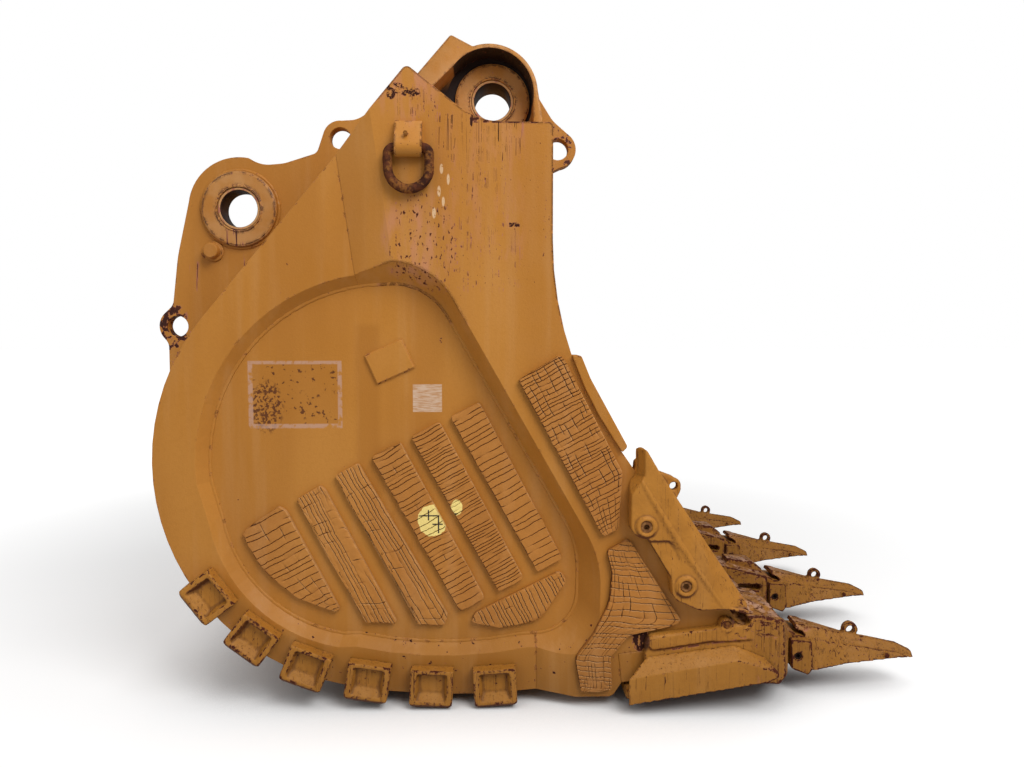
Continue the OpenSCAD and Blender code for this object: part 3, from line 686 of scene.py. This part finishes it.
def for_side(forms, side):
    """Forms made for the left-hand side, on the side that is asked for."""
    return [flipped(form) for form in forms] if side == RIGHT else forms


def on_both_sides(forms):
    """Forms made for the left-hand side, and their mirror images."""
    return [form for made in forms for form in (made, flipped(made))]


def node_shape(name):
    """A CAD node's own shape as a bmesh, with its split corners joined."""
    form = bmesh.new()
    form.from_mesh(nodes[name].data)
    bmesh.ops.remove_doubles(form, verts=form.verts, dist=MERGE)
    return form


def mesh_of(forms, name="form"):
    """One mesh of several closed forms, each with its faces turned outwards."""
    whole = bmesh.new()
    for points, faces in forms:
        made = [whole.verts.new(point) for point in points]
        new_faces = [whole.faces.new([made[i] for i in face]) for face in faces]
        bmesh.ops.recalc_face_normals(whole, faces=new_faces)
    mesh = bpy.data.meshes.new(name)
    whole.to_mesh(mesh)
    whole.free()
    return mesh


def outlines(node, side):
    """The XZ outlines, in millimetres, of a node's largest flat faces that look away from the centre."""
    form = node_shape(node)
    bmesh.ops.dissolve_limit(form, angle_limit=math.radians(1), verts=form.verts, edges=form.edges)
    loops = []
    for face in form.faces:
        if face.normal.y * side > 0.99:
            loops.append([(v.co.x / MM, v.co.z / MM) for v in face.verts])
    form.free()
    return loops


# ---- Pieces ----

def put_in_scene(name, data):
    made = bpy.data.objects.new(name, data)
    bpy.context.scene.collection.objects.link(made)
    return made


def add_piece(name, mesh, node, material=None, body=None, smooth=True):
    """Puts a mesh in the scene as a piece that takes its body from a CAD node, and its material too unless
    one is given.
    """
    if smooth:
        mesh.shade_smooth()
    mesh.materials.clear()
    mesh.materials.append(material or material_of(node))
    piece = put_in_scene(name, mesh)
    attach(piece, body or BODY_OF[node])
    return piece


def sculpt(forms, cuts=(), voxel=0.005, soften=3, pits=0.0006, pit_scale=55.0):
    """Unites closed forms, takes the cuts out, and rounds and roughens the result like a casting."""
    body = put_in_scene("work", mesh_of(forms))
    tool = put_in_scene("tool", mesh_of(cuts))
    if cuts:
        cut = body.modifiers.new("cut", "BOOLEAN")
        cut.operation = "DIFFERENCE"
        cut.object = tool
        cut.solver = "EXACT"
        cut.use_self = True
    grid = body.modifiers.new("grid", "REMESH")
    grid.mode = "VOXEL"
    grid.voxel_size = voxel
    soft = body.modifiers.new("soft", "SMOOTH")
    soft.iterations = soften
    soft.factor = 0.5
    graph = bpy.context.evaluated_depsgraph_get()
    mesh = bpy.data.meshes.new_from_object(body.evaluated_get(graph))
    for made in (body, tool):
        bpy.data.objects.remove(made)
    normals = [v.normal.copy() for v in mesh.vertices]
    for vertex, normal in zip(mesh.vertices, normals):
        vertex.co += normal * pits * (noise.noise(vertex.co * pit_scale) - 1) * 0.6
    mark_edges(mesh)
    return mesh


def table(parts, key, width, kind):
    """One value of every vertex or edge, a row each."""
    values = np.empty(len(parts) * width, kind)
    parts.foreach_get(key, values)
    return values.reshape(-1, width)


def mark_edges(mesh, rounds=3, gain=11.0):
    """Stores how convex (worn) and how concave (hollow) the surface is around each point."""
    count = len(mesh.vertices)
    spots = table(mesh.vertices, "co", 3, float)
    facing = table(mesh.vertices, "normal", 3, float)
    a, b = table(mesh.edges, "vertices", 2, int).T
    step = spots[b] - spots[a]
    step /= np.linalg.norm(step, axis=1)[:, None] + 1e-9
    degree = np.bincount(a, minlength=count) + np.bincount(b, minlength=count)
    lean = np.bincount(a, -(facing[a] * step).sum(1), count)
    lean += np.bincount(b, (facing[b] * step).sum(1), count)
    lean /= degree
    for _ in range(rounds):
        lean = (lean + (np.bincount(a, lean[b], count) + np.bincount(b, lean[a], count)) / degree) / 2
    for name, values in (("worn", lean), ("hollow", -lean)):
        layer = mesh.attributes.new(name, "FLOAT", "POINT")
        layer.data.foreach_set("value", np.clip(values * gain, 0, 1).astype(np.float32))


def cast_node(node, add=(), cuts=(), **settings):
    """Replaces a CAD node with a cast version of it."""
    mesh = sculpt([lists_of(node_shape(node)), *add], cuts, **settings)
    piece = add_piece(node + "_cast", mesh, node)
    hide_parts(node)
    return piece


def dress_cad_nodes():
    """Gives every CAD node its material, merges its triangles and rounds its edges."""
    for name, piece in nodes.items():
        piece.data.materials.clear()
        piece.data.materials.append(material_of(name))
        weld = piece.modifiers.new("weld", "WELD")
        weld.merge_threshold = MERGE
        flatten = piece.modifiers.new("flatten", "DECIMATE")
        flatten.decimate_type = "DISSOLVE"
        flatten.angle_limit = math.radians(1.0)
        bevel = piece.modifiers.new("bevel", "BEVEL")
        bevel.width = 0.002 if "side_frame" in name or "side_rim" in name else 0.005
        bevel.segments = 2
        bevel.limit_method = "ANGLE"
        bevel.angle_limit = math.radians(35)
        bevel.harden_normals = True


# ---- Tips, adapters and lip shrouds ----

SPLAY = math.radians(5)
OUTER_TIP = (1380, 1170, -2610)
INNER_TIP = (1555, 390, -2610)


def tip_place(outer, side):
    if outer:
        x, y, z = OUTER_TIP
        return Matrix.Translation((x, side * y, z)) @ Matrix.Rotation(side * SPLAY, 4, "Z")
    x, y, z = INNER_TIP
    return Matrix.Translation((x, side * y, z))


NOTCH = [(-45, 77), (-45, 150), (22, 150), (24, 101), (50, 96), (60, 84), (62, 74)]
HUMP = [(-60, 40), (-60, 104), (-12, 104), (10, 96), (26, 82), (34, 66), (34, 40)]


def tip_forms():
    """The details that the CAD tip lacks: a lobe over the notch, a ring on the eye, casting nubs."""
    lobe = hull(block(16, 20, -46, 46, 104, 128), block(70, 74, -62, 62, 96, 117))
    turns = (0, 1.05, 2.09, 3.14, 4.19, 5.24)
    ring = lathe((293, 84), [(28 + 9 * math.cos(a), 17 * math.sin(a)) for a in turns])
    nub = drum((440, -12), 12, -80, 80, 20)
    return [lobe, ring, nub]


# Along a tip: how far, the half width of its top face and the height of that face
RIDGES = [(-30, 88, 130), (104, 66, 107), (250, 40, 71), (500, 24, 28), (600, 36, -14)]


def ridge_cuts():
    """Takes the long top edges off a tip, so that its back becomes round."""
    cuts = []
    for s in (-1, 1):
        for (x0, half0, top0), (x1, half1, top1) in zip(RIDGES, RIDGES[1:]):
            ends = []
            for x, half, top in ((x0, half0, top0), (x1, half1, top1)):
                corner = [(18, -42), (-22, 2), (45, 25)]
                ends += [(x, s * (half + out), top + up) for out, up in corner]
            cuts.append(hull(ends))
    return cuts


def make_tips():
    for side_name, side in SIDES:
        for kind in ("outer", "inner"):
            place = tip_place(kind == "outer", side)
            add = [placed(form, place) for form in tip_forms()]
            cuts = [placed(form, place) for form in (prism(NOTCH, -150, 150), *ridge_cuts())]
            cast_node(f"{side_name}_{kind}_tip", add, cuts, voxel=0.0042, soften=5, pits=0.0016)


def make_adapters():
    hump = prism(HUMP, -96, 96)
    for side_name, side in SIDES:
        place = tip_place(False, side)
        crown = hull(block(-230, -220, -50, 50, 120, 196), block(-120, -90, -70, 70, 90, 182),
                     block(-26, -24, -40, 40, 90, 132))
        slots = [placed(hull(block(-210, -60, s * 104 - 30, s * 104 + 30, 34, 66)), place) for s in (-1, 1)]
        cast_node(f"{side_name}_inner_adapter", [placed(hump, place), placed(crown, place)], slots,
                  voxel=0.0055, soften=4, pits=0.0016)
        corner = [placed(hump, tip_place(True, LEFT)), *corner_details()]
        cast_node(f"{side_name}_corner_adapter", for_side(corner, side), for_side(corner_cuts(), side),
                  voxel=0.0055, soften=4, pits=0.0016)
    cast_node("corner_runners", voxel=0.006, soften=2, pits=0.0012)


CORNER_EYE = (1011, -2404)


def corner_details():
    """Left-hand details: the round rail, the eye's boss and the fairing over the lip's corner."""
    turns = (0, 0.8, 1.6, 2.4, 3.1, 3.9, 4.7, 5.5)
    rail = hull(*[[(x + 27 * math.cos(a), y, z + 27 * math.sin(a)) for a in turns]
                  for x, z in ((692, -2484), (975, -2444)) for y in (1405, 1449)])
    shoulder = hull(block(960, 970, 1300, 1448, -2478, -2424), block(1120, 1130, 1300, 1446, -2470, -2400))
    eye = drum(CORNER_EYE, 31, 1400, 1452)
    fairing = hull([(1100, y, -2330) for y in (1240, 1330)], [(1262, y, -2372) for y in (1180, 1300)],
                   [(1090, y, -2400) for y in (1200, 1430)], [(1270, y, -2430) for y in (1120, 1420)])
    return [rail, shoulder, eye, fairing]


def corner_cuts():
    """Left-hand cuts: the eye's hole and the hollow behind the lip's corner."""
    plug = drum(CORNER_EYE, 18, 1440, 1480)
    recess = prism([(1030, -2352), (1095, -2362), (1122, -2396), (1100, -2412), (1052, -2400)], 1330, 1500)
    return [plug, recess]


def make_plugs():
    """The rusty plugs in the eyes of the corner adapters."""
    forms = on_both_sides([drum(CORNER_EYE, 17.5, 1415, 1446, 28)])
    mesh = sculpt(forms, voxel=0.003, soften=3, pits=0.001)
    add_piece("corner_eye_plugs", mesh, "right_lifting_ring", body="bucket")


def make_lip_shrouds():
    for name in ("right_lip_shroud", "centre_lip_shroud", "left_lip_shroud"):
        cast_node(name, voxel=0.007, soften=4, pits=0.0016)


# ---- Shrouds on the side walls ----

UPPER_LOCK = (646, -1959)
LOWER_LOCK = (819, -2219)
WING_FACE = 1480


def wing_details():
    """Left-hand details: boss rims, the crease in front of them and a collar on the eye."""
    rim = [(27, WING_FACE - 20), (47, WING_FACE - 20), (45, WING_FACE + 6), (39, WING_FACE + 13),
           (31, WING_FACE + 13), (27, WING_FACE + 8)]
    rims = [lathe(lock, rim) for lock in (UPPER_LOCK, LOWER_LOCK)]
    crease = hull([(622, WING_FACE + 5, -1760), (622, WING_FACE - 20, -1790), (640, WING_FACE - 20, -1740)],
                  [(985, WING_FACE + 4, -2316), (950, WING_FACE - 20, -2316), (1010, WING_FACE - 20, -2300)],
                  [(790, WING_FACE + 8, -2040), (740, WING_FACE - 20, -2080), (830, WING_FACE - 20, -1990)])
    eye = lathe((777, -1798), [(27 + 9 * math.cos(a), 1390 + 20 * math.sin(a))
                               for a in (0, 0.79, 1.57, 2.36, 3.14, 3.93, 4.71, 5.5)])
    return [*rims, crease, eye]


def wing_cuts():
    """Left-hand cuts: the step between the bosses, the bevel of the front edge and the horn's side."""
    step = ((560, -2022, -9), (745, -2021, -9), (773, -2048, -7), (796, -2096, -4), (802, -2160, 1),
            (560, -2160, 1))
    field = hull([(x, WING_FACE + deep, z) for x, z, deep in step],
                 [(x, WING_FACE + 40, z) for x, z, _ in step])
    front = hull([(668, WING_FACE + 2, -1640), (668, WING_FACE + 40, -1640), (760, WING_FACE - 55, -1650),
                  (760, WING_FACE + 40, -1650)],
                 [(1000, WING_FACE + 2, -2318), (1000, WING_FACE + 40, -2318), (1160, WING_FACE - 45, -2330),
                  (1160, WING_FACE + 40, -2330)])
    cheek = ((560, 1385), (602, 1385), (640, WING_FACE + 3), (560, WING_FACE + 3))
    horn = hull([(x, y, z) for x, y in cheek for z in (-1590, -1742)],
                [(560, WING_FACE + 3, -1830), (580, WING_FACE + 3, -1830), (560, 1440, -1830)])
    return [field, front, horn]


def make_wing_shrouds():
    for side_name, side in SIDES:
        cast_node(f"{side_name}_wing_shroud", for_side(wing_details(), side), for_side(wing_cuts(), side),
                  voxel=0.0046, soften=3, pits=0.0010)


# The two arcs that the heel shrouds follow, each (x, z, radius), and each shroud's turn on its arc
HEEL = (-473, -1708, 1000)
HEEL_END = math.radians(258.5)
BACK_OFF = 1675
BELLY = (HEEL[0] - BACK_OFF * math.cos(HEEL_END), HEEL[1] - BACK_OFF * math.sin(HEEL_END), HEEL[2] + BACK_OFF)
HEEL_TURNS = [(HEEL, 216.5), (HEEL, 232.5), (HEEL, 248.5), (BELLY, 260.9), (BELLY, 267.0), (BELLY, 273.1)]
HEEL_FACE = 1415


def heel_place(circle_of, turn):
    """A left-hand shroud's own frame: +X away from the arc's centre, +Z along the arc, +Y out of the wall."""
    x, z, radius = circle_of
    angle = math.radians(turn)
    reach = radius - 45
    return (Matrix.Translation((x + reach * math.cos(angle), 0, z + reach * math.sin(angle)))
            @ Matrix.Rotation(-angle, 4, "Y"))


def heel_details():
    """The bevelled ledges inside one pocket, the outer one widest."""
    floor = HEEL_FACE - 33
    wall = (floor - 2, HEEL_FACE - 2)
    outer = hull([(18, floor, z) for z in (-66, 66)], [(58, y, z) for y in wall for z in (-70, 70)])
    sides = [hull([(x, floor, s * 54) for x in (-60, 50)], [(x, y, s * 70) for x in (-68, 56) for y in wall])
             for s in (-1, 1)]
    return [outer, *sides]


def heel_cuts():
    """The worn-off outer corners and outer edge of one shroud."""
    corners = [prism([(60, s * 100), (100, s * 100), (100, s * 66)], 1150, 1450) for s in (-1, 1)]
    edge = hull([(x, HEEL_FACE + 20, z) for x in (64, 110) for z in (-100, 100)],
                [(68, HEEL_FACE + 1, z) for z in (-100, 100)],
                [(110, HEEL_FACE - 50, z) for z in (-100, 100)])
    return [*corners, edge]


def make_heel_shrouds():
    for side_name, side in SIDES:
        add = [placed(form, heel_place(*turn)) for turn in HEEL_TURNS for form in heel_details()]
        cuts = [placed(form, heel_place(*turn)) for turn in HEEL_TURNS for form in heel_cuts()]
        cast_node(f"{side_name}_heel_shrouds", for_side(add, side), for_side(cuts, side),
                  voxel=0.0048, soften=3, pits=0.0014)


def make_lifting_rings():
    for side_name, _ in SIDES:
        cast_node(f"{side_name}_lifting_ring", voxel=0.0035, soften=3, pits=0.0030, pit_scale=38.0)


# ---- Hardfaced strips and plates ----

# Half the width of a crack, its depth, and the width of the bevel round a plate, in millimetres
CRACK_HALF = 3.0
GROOVE = 3.5
EDGE = 3.5
PLATE_HEIGHT = 24.0
PANEL_FACE = 1300
FRAME_FACE = 1400
ROW_GAP = 16.0
COLUMN_GAP = 9.0


def span(outline, along, across, u):
    """Where the line at distance u along crosses the outline: its lowest and highest place across."""
    hits = []
    for (ax, az), (bx, bz) in zip(outline, outline[1:] + outline[:1]):
        a = ax * along[0] + az * along[1] - u
        b = bx * along[0] + bz * along[1] - u
        if a * b <= 0 and a != b:
            share = a / (a - b)
            hits.append((ax + (bx - ax) * share) * across[0] + (az + (bz - az) * share) * across[1])
    return min(hits), max(hits)


def crack_places(low, high, spacing, draw):
    """Where the cracks lie between low and high, at uneven distances around the spacing."""
    places = []
    place = low + spacing * draw.uniform(0.4, 0.9)
    while place < high - spacing * 0.4:
        places.append(place)
        place += spacing * draw.choice((0.7, 0.85, 1.0, 1.15, 1.4))
    return places


def grid_lines(low, high, places, gap):
    """Rows or columns: an edge pair at both ends, three lines for each crack, more in wide gaps."""
    lines = [(low, "base", None), (low, "rim", None), (low + EDGE, "top", None)]
    before = low + EDGE
    for index, place in enumerate(places + [None]):
        reach = high - EDGE if place is None else place - CRACK_HALF
        extra = max(0, int((reach - before) / gap))
        for i in range(extra):
            lines.append((before + (reach - before) * (i + 1) / (extra + 1), "top", None))
        if place is not None:
            lines.append((place - CRACK_HALF, "top", None))
            lines.append((place, "crack", index))
            lines.append((place + CRACK_HALF, "top", None))
            before = place + CRACK_HALF
    return lines + [(high - EDGE, "top", None), (high, "rim", None), (high, "base", None)]


def crack_strength(index, share, seed, fill):
    """How deep one crack is at a share of its length: it fades in and out."""
    value = noise.noise(Vector((index * 7.31, share * 1.4, seed)))
    return max(0.0, min(1.0, (value + fill) * 3.0))


def hardfaced(outline, along, base, side, seed, plan):
    """A plate over an XZ outline whose top carries grooves: many across it and a few along it."""
    draw = random.Random(seed)
    spacing, cross_spacing, row_fill, column_fill = plan[1:]
    across = (-along[1], along[0])
    reach = [x * along[0] + z * along[1] for x, z in outline]
    low, high = min(reach) + 0.5, max(reach) - 0.5
    rows = grid_lines(low, high, crack_places(low, high, spacing, draw), ROW_GAP)
    ends = [span(outline, along, across, low + (high - low) * i / 8) for i in range(9)]
    width = max(b - a for a, b in ends)
    columns = grid_lines(0.0, width, crack_places(0.0, width, cross_spacing, draw), COLUMN_GAP)
    points, cracks = [], []
    for u, row_kind, row_crack in rows:
        for v, column_kind, column_crack in columns:
            share = v / width
            wave = noise.noise(Vector((u / 120, v / 90, seed))) * 7
            wave += noise.noise(Vector((u / 30, v / 12, seed))) * 2.6
            u_here = min(max(u + (wave if row_kind in ("top", "crack") else 0), low), high)
            left, right = span(outline, along, across, u_here)
            v_here = left + (right - left) * share
            sway = noise.noise(Vector((u / 60, v / 80, seed + 9))) * 7
            if column_kind in ("top", "crack") and width > 60:
                v_here += sway * (right - left) / width
            crack = 0.0
            if row_kind == "crack" and column_kind in ("top", "crack"):
                crack = crack_strength(row_crack, share, seed, row_fill)
            if column_kind == "crack" and row_kind in ("top", "crack"):
                crack = max(crack, crack_strength(column_crack, (u - low) / 90, seed + 5, column_fill))
            lump = noise.noise(Vector((u / 22, v / 30, seed + 3))) * 1.6
            top = PLATE_HEIGHT + lump - GROOVE * crack
            kinds = (row_kind, column_kind)
            # The base ring gets a crack value too, so each plate's sides darken down to the panel.
            if "base" in kinds:
                top = -4.0
                crack = 0.6
            elif "rim" in kinds:
                top = PLATE_HEIGHT - EDGE + lump
                crack = max(crack, 0.10 + 0.5 * noise.noise(Vector((u / 18, v / 18, seed + 4))))
            x = along[0] * u_here + across[0] * v_here
            z = along[1] * u_here + across[1] * v_here
            points.append(Vector((x, side * (base + top), z)) * MM)
            cracks.append(crack)
    return (points, grid_faces(len(columns), len(rows))), cracks


def grid_faces(wide, tall):
    """The faces of a grid of points, and one face that closes it below."""
    faces = [(r * wide + c, r * wide + c + 1, (r + 1) * wide + c + 1, (r + 1) * wide + c)
             for r in range(tall - 1) for c in range(wide - 1)]
    rim = list(range(wide)) + [r * wide + wide - 1 for r in range(1, tall)]
    rim += [(tall - 1) * wide + c for c in range(wide - 2, -1, -1)]
    rim += [r * wide for r in range(tall - 2, 0, -1)]
    return [*faces, tuple(reversed(rim))]


def place_of(loop):
    """How far along the wall an outline lies, for putting the plates in order."""
    return min(x for x, _ in loop) + 0.2 * min(z for _, z in loop)


def hardfaced_node(node, side, base, plans):
    """Replaces a node of flat plates with cracked ones.

    A plan is the turn from the longest edge in degrees, the spacing of the rows and of the columns,
    and how full each is.
    """
    forms, cracks = [], []
    loops = sorted(outlines(node, side), key=place_of)
    for index, (loop, plan) in enumerate(zip(loops, plans)):
        loop = loop if area(loop) > 0 else loop[::-1]
        a, b = max(zip(loop, loop[1:] + loop[:1]), key=lambda pair: math.dist(*pair))
        angle = math.atan2(b[1] - a[1], b[0] - a[0]) + math.radians(plan[0])
        along = (math.cos(angle), math.sin(angle))
        form, levels = hardfaced(loop, along, base, side, index + 1, plan)
        forms.append(form)
        cracks += levels
    mesh = mesh_of(forms, node + "_cracked")
    mesh.shade_smooth()
    mesh.set_sharp_from_angle(angle=math.radians(38))
    layer = mesh.attributes.new("crack", "FLOAT", "POINT")
    layer.data.foreach_set("value", cracks)
    piece = add_piece(node + "_cracked", mesh, node, smooth=False)
    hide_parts(node)


def area(loop):
    return sum(ax * bz - bx * az for (ax, az), (bx, bz) in zip(loop, loop[1:] + loop[:1])) / 2


def make_hardfacing():
    """The plans are in the order of the plates along the wall."""
    strips = [
        (0, 31, 80, 0.50, 0.0), (90, 17, 45, 0.30, 0.04), (90, 16, 60, 0.30, 0.02), (0, 26, 90, 0.50, -0.08),
        (0, 17, 200, 0.45, -0.1), (0, 30, 200, 0.60, -0.1), (0, 20, 60, 0.45, 0.0),
    ]
    plates = [(0, 20, 34, 0.55, 0.22), (-37, 24, 38, 0.55, 0.15)]
    for side_name, side in SIDES:
        hardfaced_node(f"{side_name}_panel_strips", side, PANEL_FACE, strips)
        hardfaced_node(f"{side_name}_corner_plates", side, FRAME_FACE, plates)


# ---- Welds, bore faces and small things ----

RING_STRAP_FACE = 1471
WEB_FACE = 777
STICK_PIN = (0, 0)
LINK_PIN = (-1248, -528)


def make_boss_faces():
    """Raised machined faces with a groove, on both sides of each ear."""
    forms = []
    for centre, face in ((STICK_PIN, 790), (LINK_PIN, 800)):
        y = face - 2
        profile = [(106, 0), (106, 8), (111, 9), (114, 6), (116, 5), (174, 5), (180, 1), (181, 0)]
        forms.append(lathe(centre, [(radius, y + proud) for radius, proud in profile]))
    mesh = mesh_of(on_both_sides(forms))
    add_piece("boss_faces", mesh, "stick_pin_bosses", smooth=False)


def make_bracket_rivets():
    """The round head in the middle of each lifting ring's bracket."""
    forms = on_both_sides([drum((-360, -322), 9, 1440, RING_STRAP_FACE, 20)])
    add_piece("bracket_rivets", mesh_of(forms), "ring_brackets", smooth=False)


def make_welds():
    """Weld beads round the link pin bosses, the pin stops, the badge plates and the panels."""
    forms = [bead(circle(LINK_PIN, 189, 120), WEB_FACE, 9)]
    forms += [bead(circle((-1410, -740), 30, 24), WEB_FACE, 6)]
    for loop in outlines("badge_plates", LEFT):
        forms.append(bead(loop, PANEL_FACE + 2, 5))
    for loop in outlines("left_side_panel", LEFT)[:1]:
        forms.append(bead(loop, PANEL_FACE, 10, step=9.0, flat=0.55))
    mesh = mesh_of(on_both_sides(forms))
    add_piece("weld_beads", mesh, "right_side_frame", MATERIALS["shell_paint"])


# ---- Floor, light and camera ----

FLOOR_HALF = 60.0
AIM = Vector((0.0, -1.4, -1.4))
SKY_LIGHT = 0.26


def make_floor():
    """A pale floor that fades to white away from the bucket and keeps its soft shadow, with a painted shadow
    where ambient occlusion dims its glow near the bucket.
    """
    mesh = bpy.data.meshes.new("floor")
    corners = [(x * FLOOR_HALF, y * FLOOR_HALF, ground_z) for x, y in ((-1, -1), (1, -1), (1, 1), (-1, 1))]
    mesh.from_pydata(corners, [], [(0, 1, 2, 3)])
    floor = put_in_scene("floor", mesh)
    s = Shader("floor")
    s.surface.inputs["Emission Color"].default_value = (1.0, 1.0, 1.0, 1.0)
    away = s.node("ShaderNodeVectorMath", {0: s.place}, 1, operation="LENGTH")
    seen = s.tree.nodes.new("ShaderNodeLightPath").outputs["Is Camera Ray"]
    # Painted shadow: the glow that the camera sees is dimmed near the bucket, where ambient occlusion is low.
    open_sky = s.node("ShaderNodeAmbientOcclusion", {"Distance": 0.7}, "AO", samples=8)
    near = s.times(s.above(open_sky, 0.15, 1.0), 0.46)
    glow = s.times(seen, s.blend(s.above(away, 3.2, 7.5), near, 0.9))
    s.tree.links.new(glow, s.surface.inputs["Emission Strength"])
    mesh.materials.append(s.finish((0.66, 0.66, 0.66), 0.9, gloss=0.0))


def make_lights():
    """A soft key, a fill and a top light, and a white world that is dimmer as a light than as a backdrop."""
    world = bpy.data.worlds.new("studio")
    bpy.context.scene.world = world
    world.use_nodes = True
    tree = world.node_tree
    sky = tree.nodes["Background"]
    sky.inputs["Color"].default_value = (1.0, 1.0, 1.0, 1.0)
    rays = tree.nodes.new("ShaderNodeLightPath")
    level = tree.nodes.new("ShaderNodeMapRange")
    level.inputs["To Min"].default_value = SKY_LIGHT
    level.inputs["To Max"].default_value = 1.0
    tree.links.new(rays.outputs["Is Camera Ray"], level.inputs[0])
    tree.links.new(level.outputs[0], sky.inputs["Strength"])
    for name, place, size, power in (
        ("key", (3.9, -6.6, 4.6), 5.0, 650.0),
        ("fill", (-5.5, -7.0, 2.0), 5.0, 120.0),
        ("top", (0.0, -3.2, 5.6), 5.0, 105.0),
    ):
        lamp = bpy.data.lights.new(name, "AREA")
        lamp.size = size
        lamp.energy = power
        lit = put_in_scene(name, lamp)
        lit.location = place
        aim = AIM - Vector(place)
        lit.rotation_euler = aim.to_track_quat("-Z", "Y").to_euler()


def make_camera():
    """A camera at the height of the bucket's middle, in front of its right-hand side."""
    camera = bpy.data.cameras.new("camera")
    camera.sensor_width = 36.0
    camera.lens = 27.07
    camera.clip_end = 200.0
    eye = put_in_scene("camera", camera)
    eye.location = (-0.02919, -4.680, -1.12365)
    down = math.radians(4.0116)
    right = math.radians(1.855)
    eye.rotation_euler = (math.radians(90) - down, 0.0, -right)
    bpy.context.scene.camera = eye
    bpy.context.scene.view_settings.view_transform = "Standard"


make_camera()
make_lights()
make_floor()
dress_cad_nodes()
make_hardfacing()
make_tips()
make_adapters()
make_plugs()
make_lip_shrouds()
make_wing_shrouds()
make_heel_shrouds()
make_lifting_rings()
make_boss_faces()
make_bracket_rivets()
make_welds()
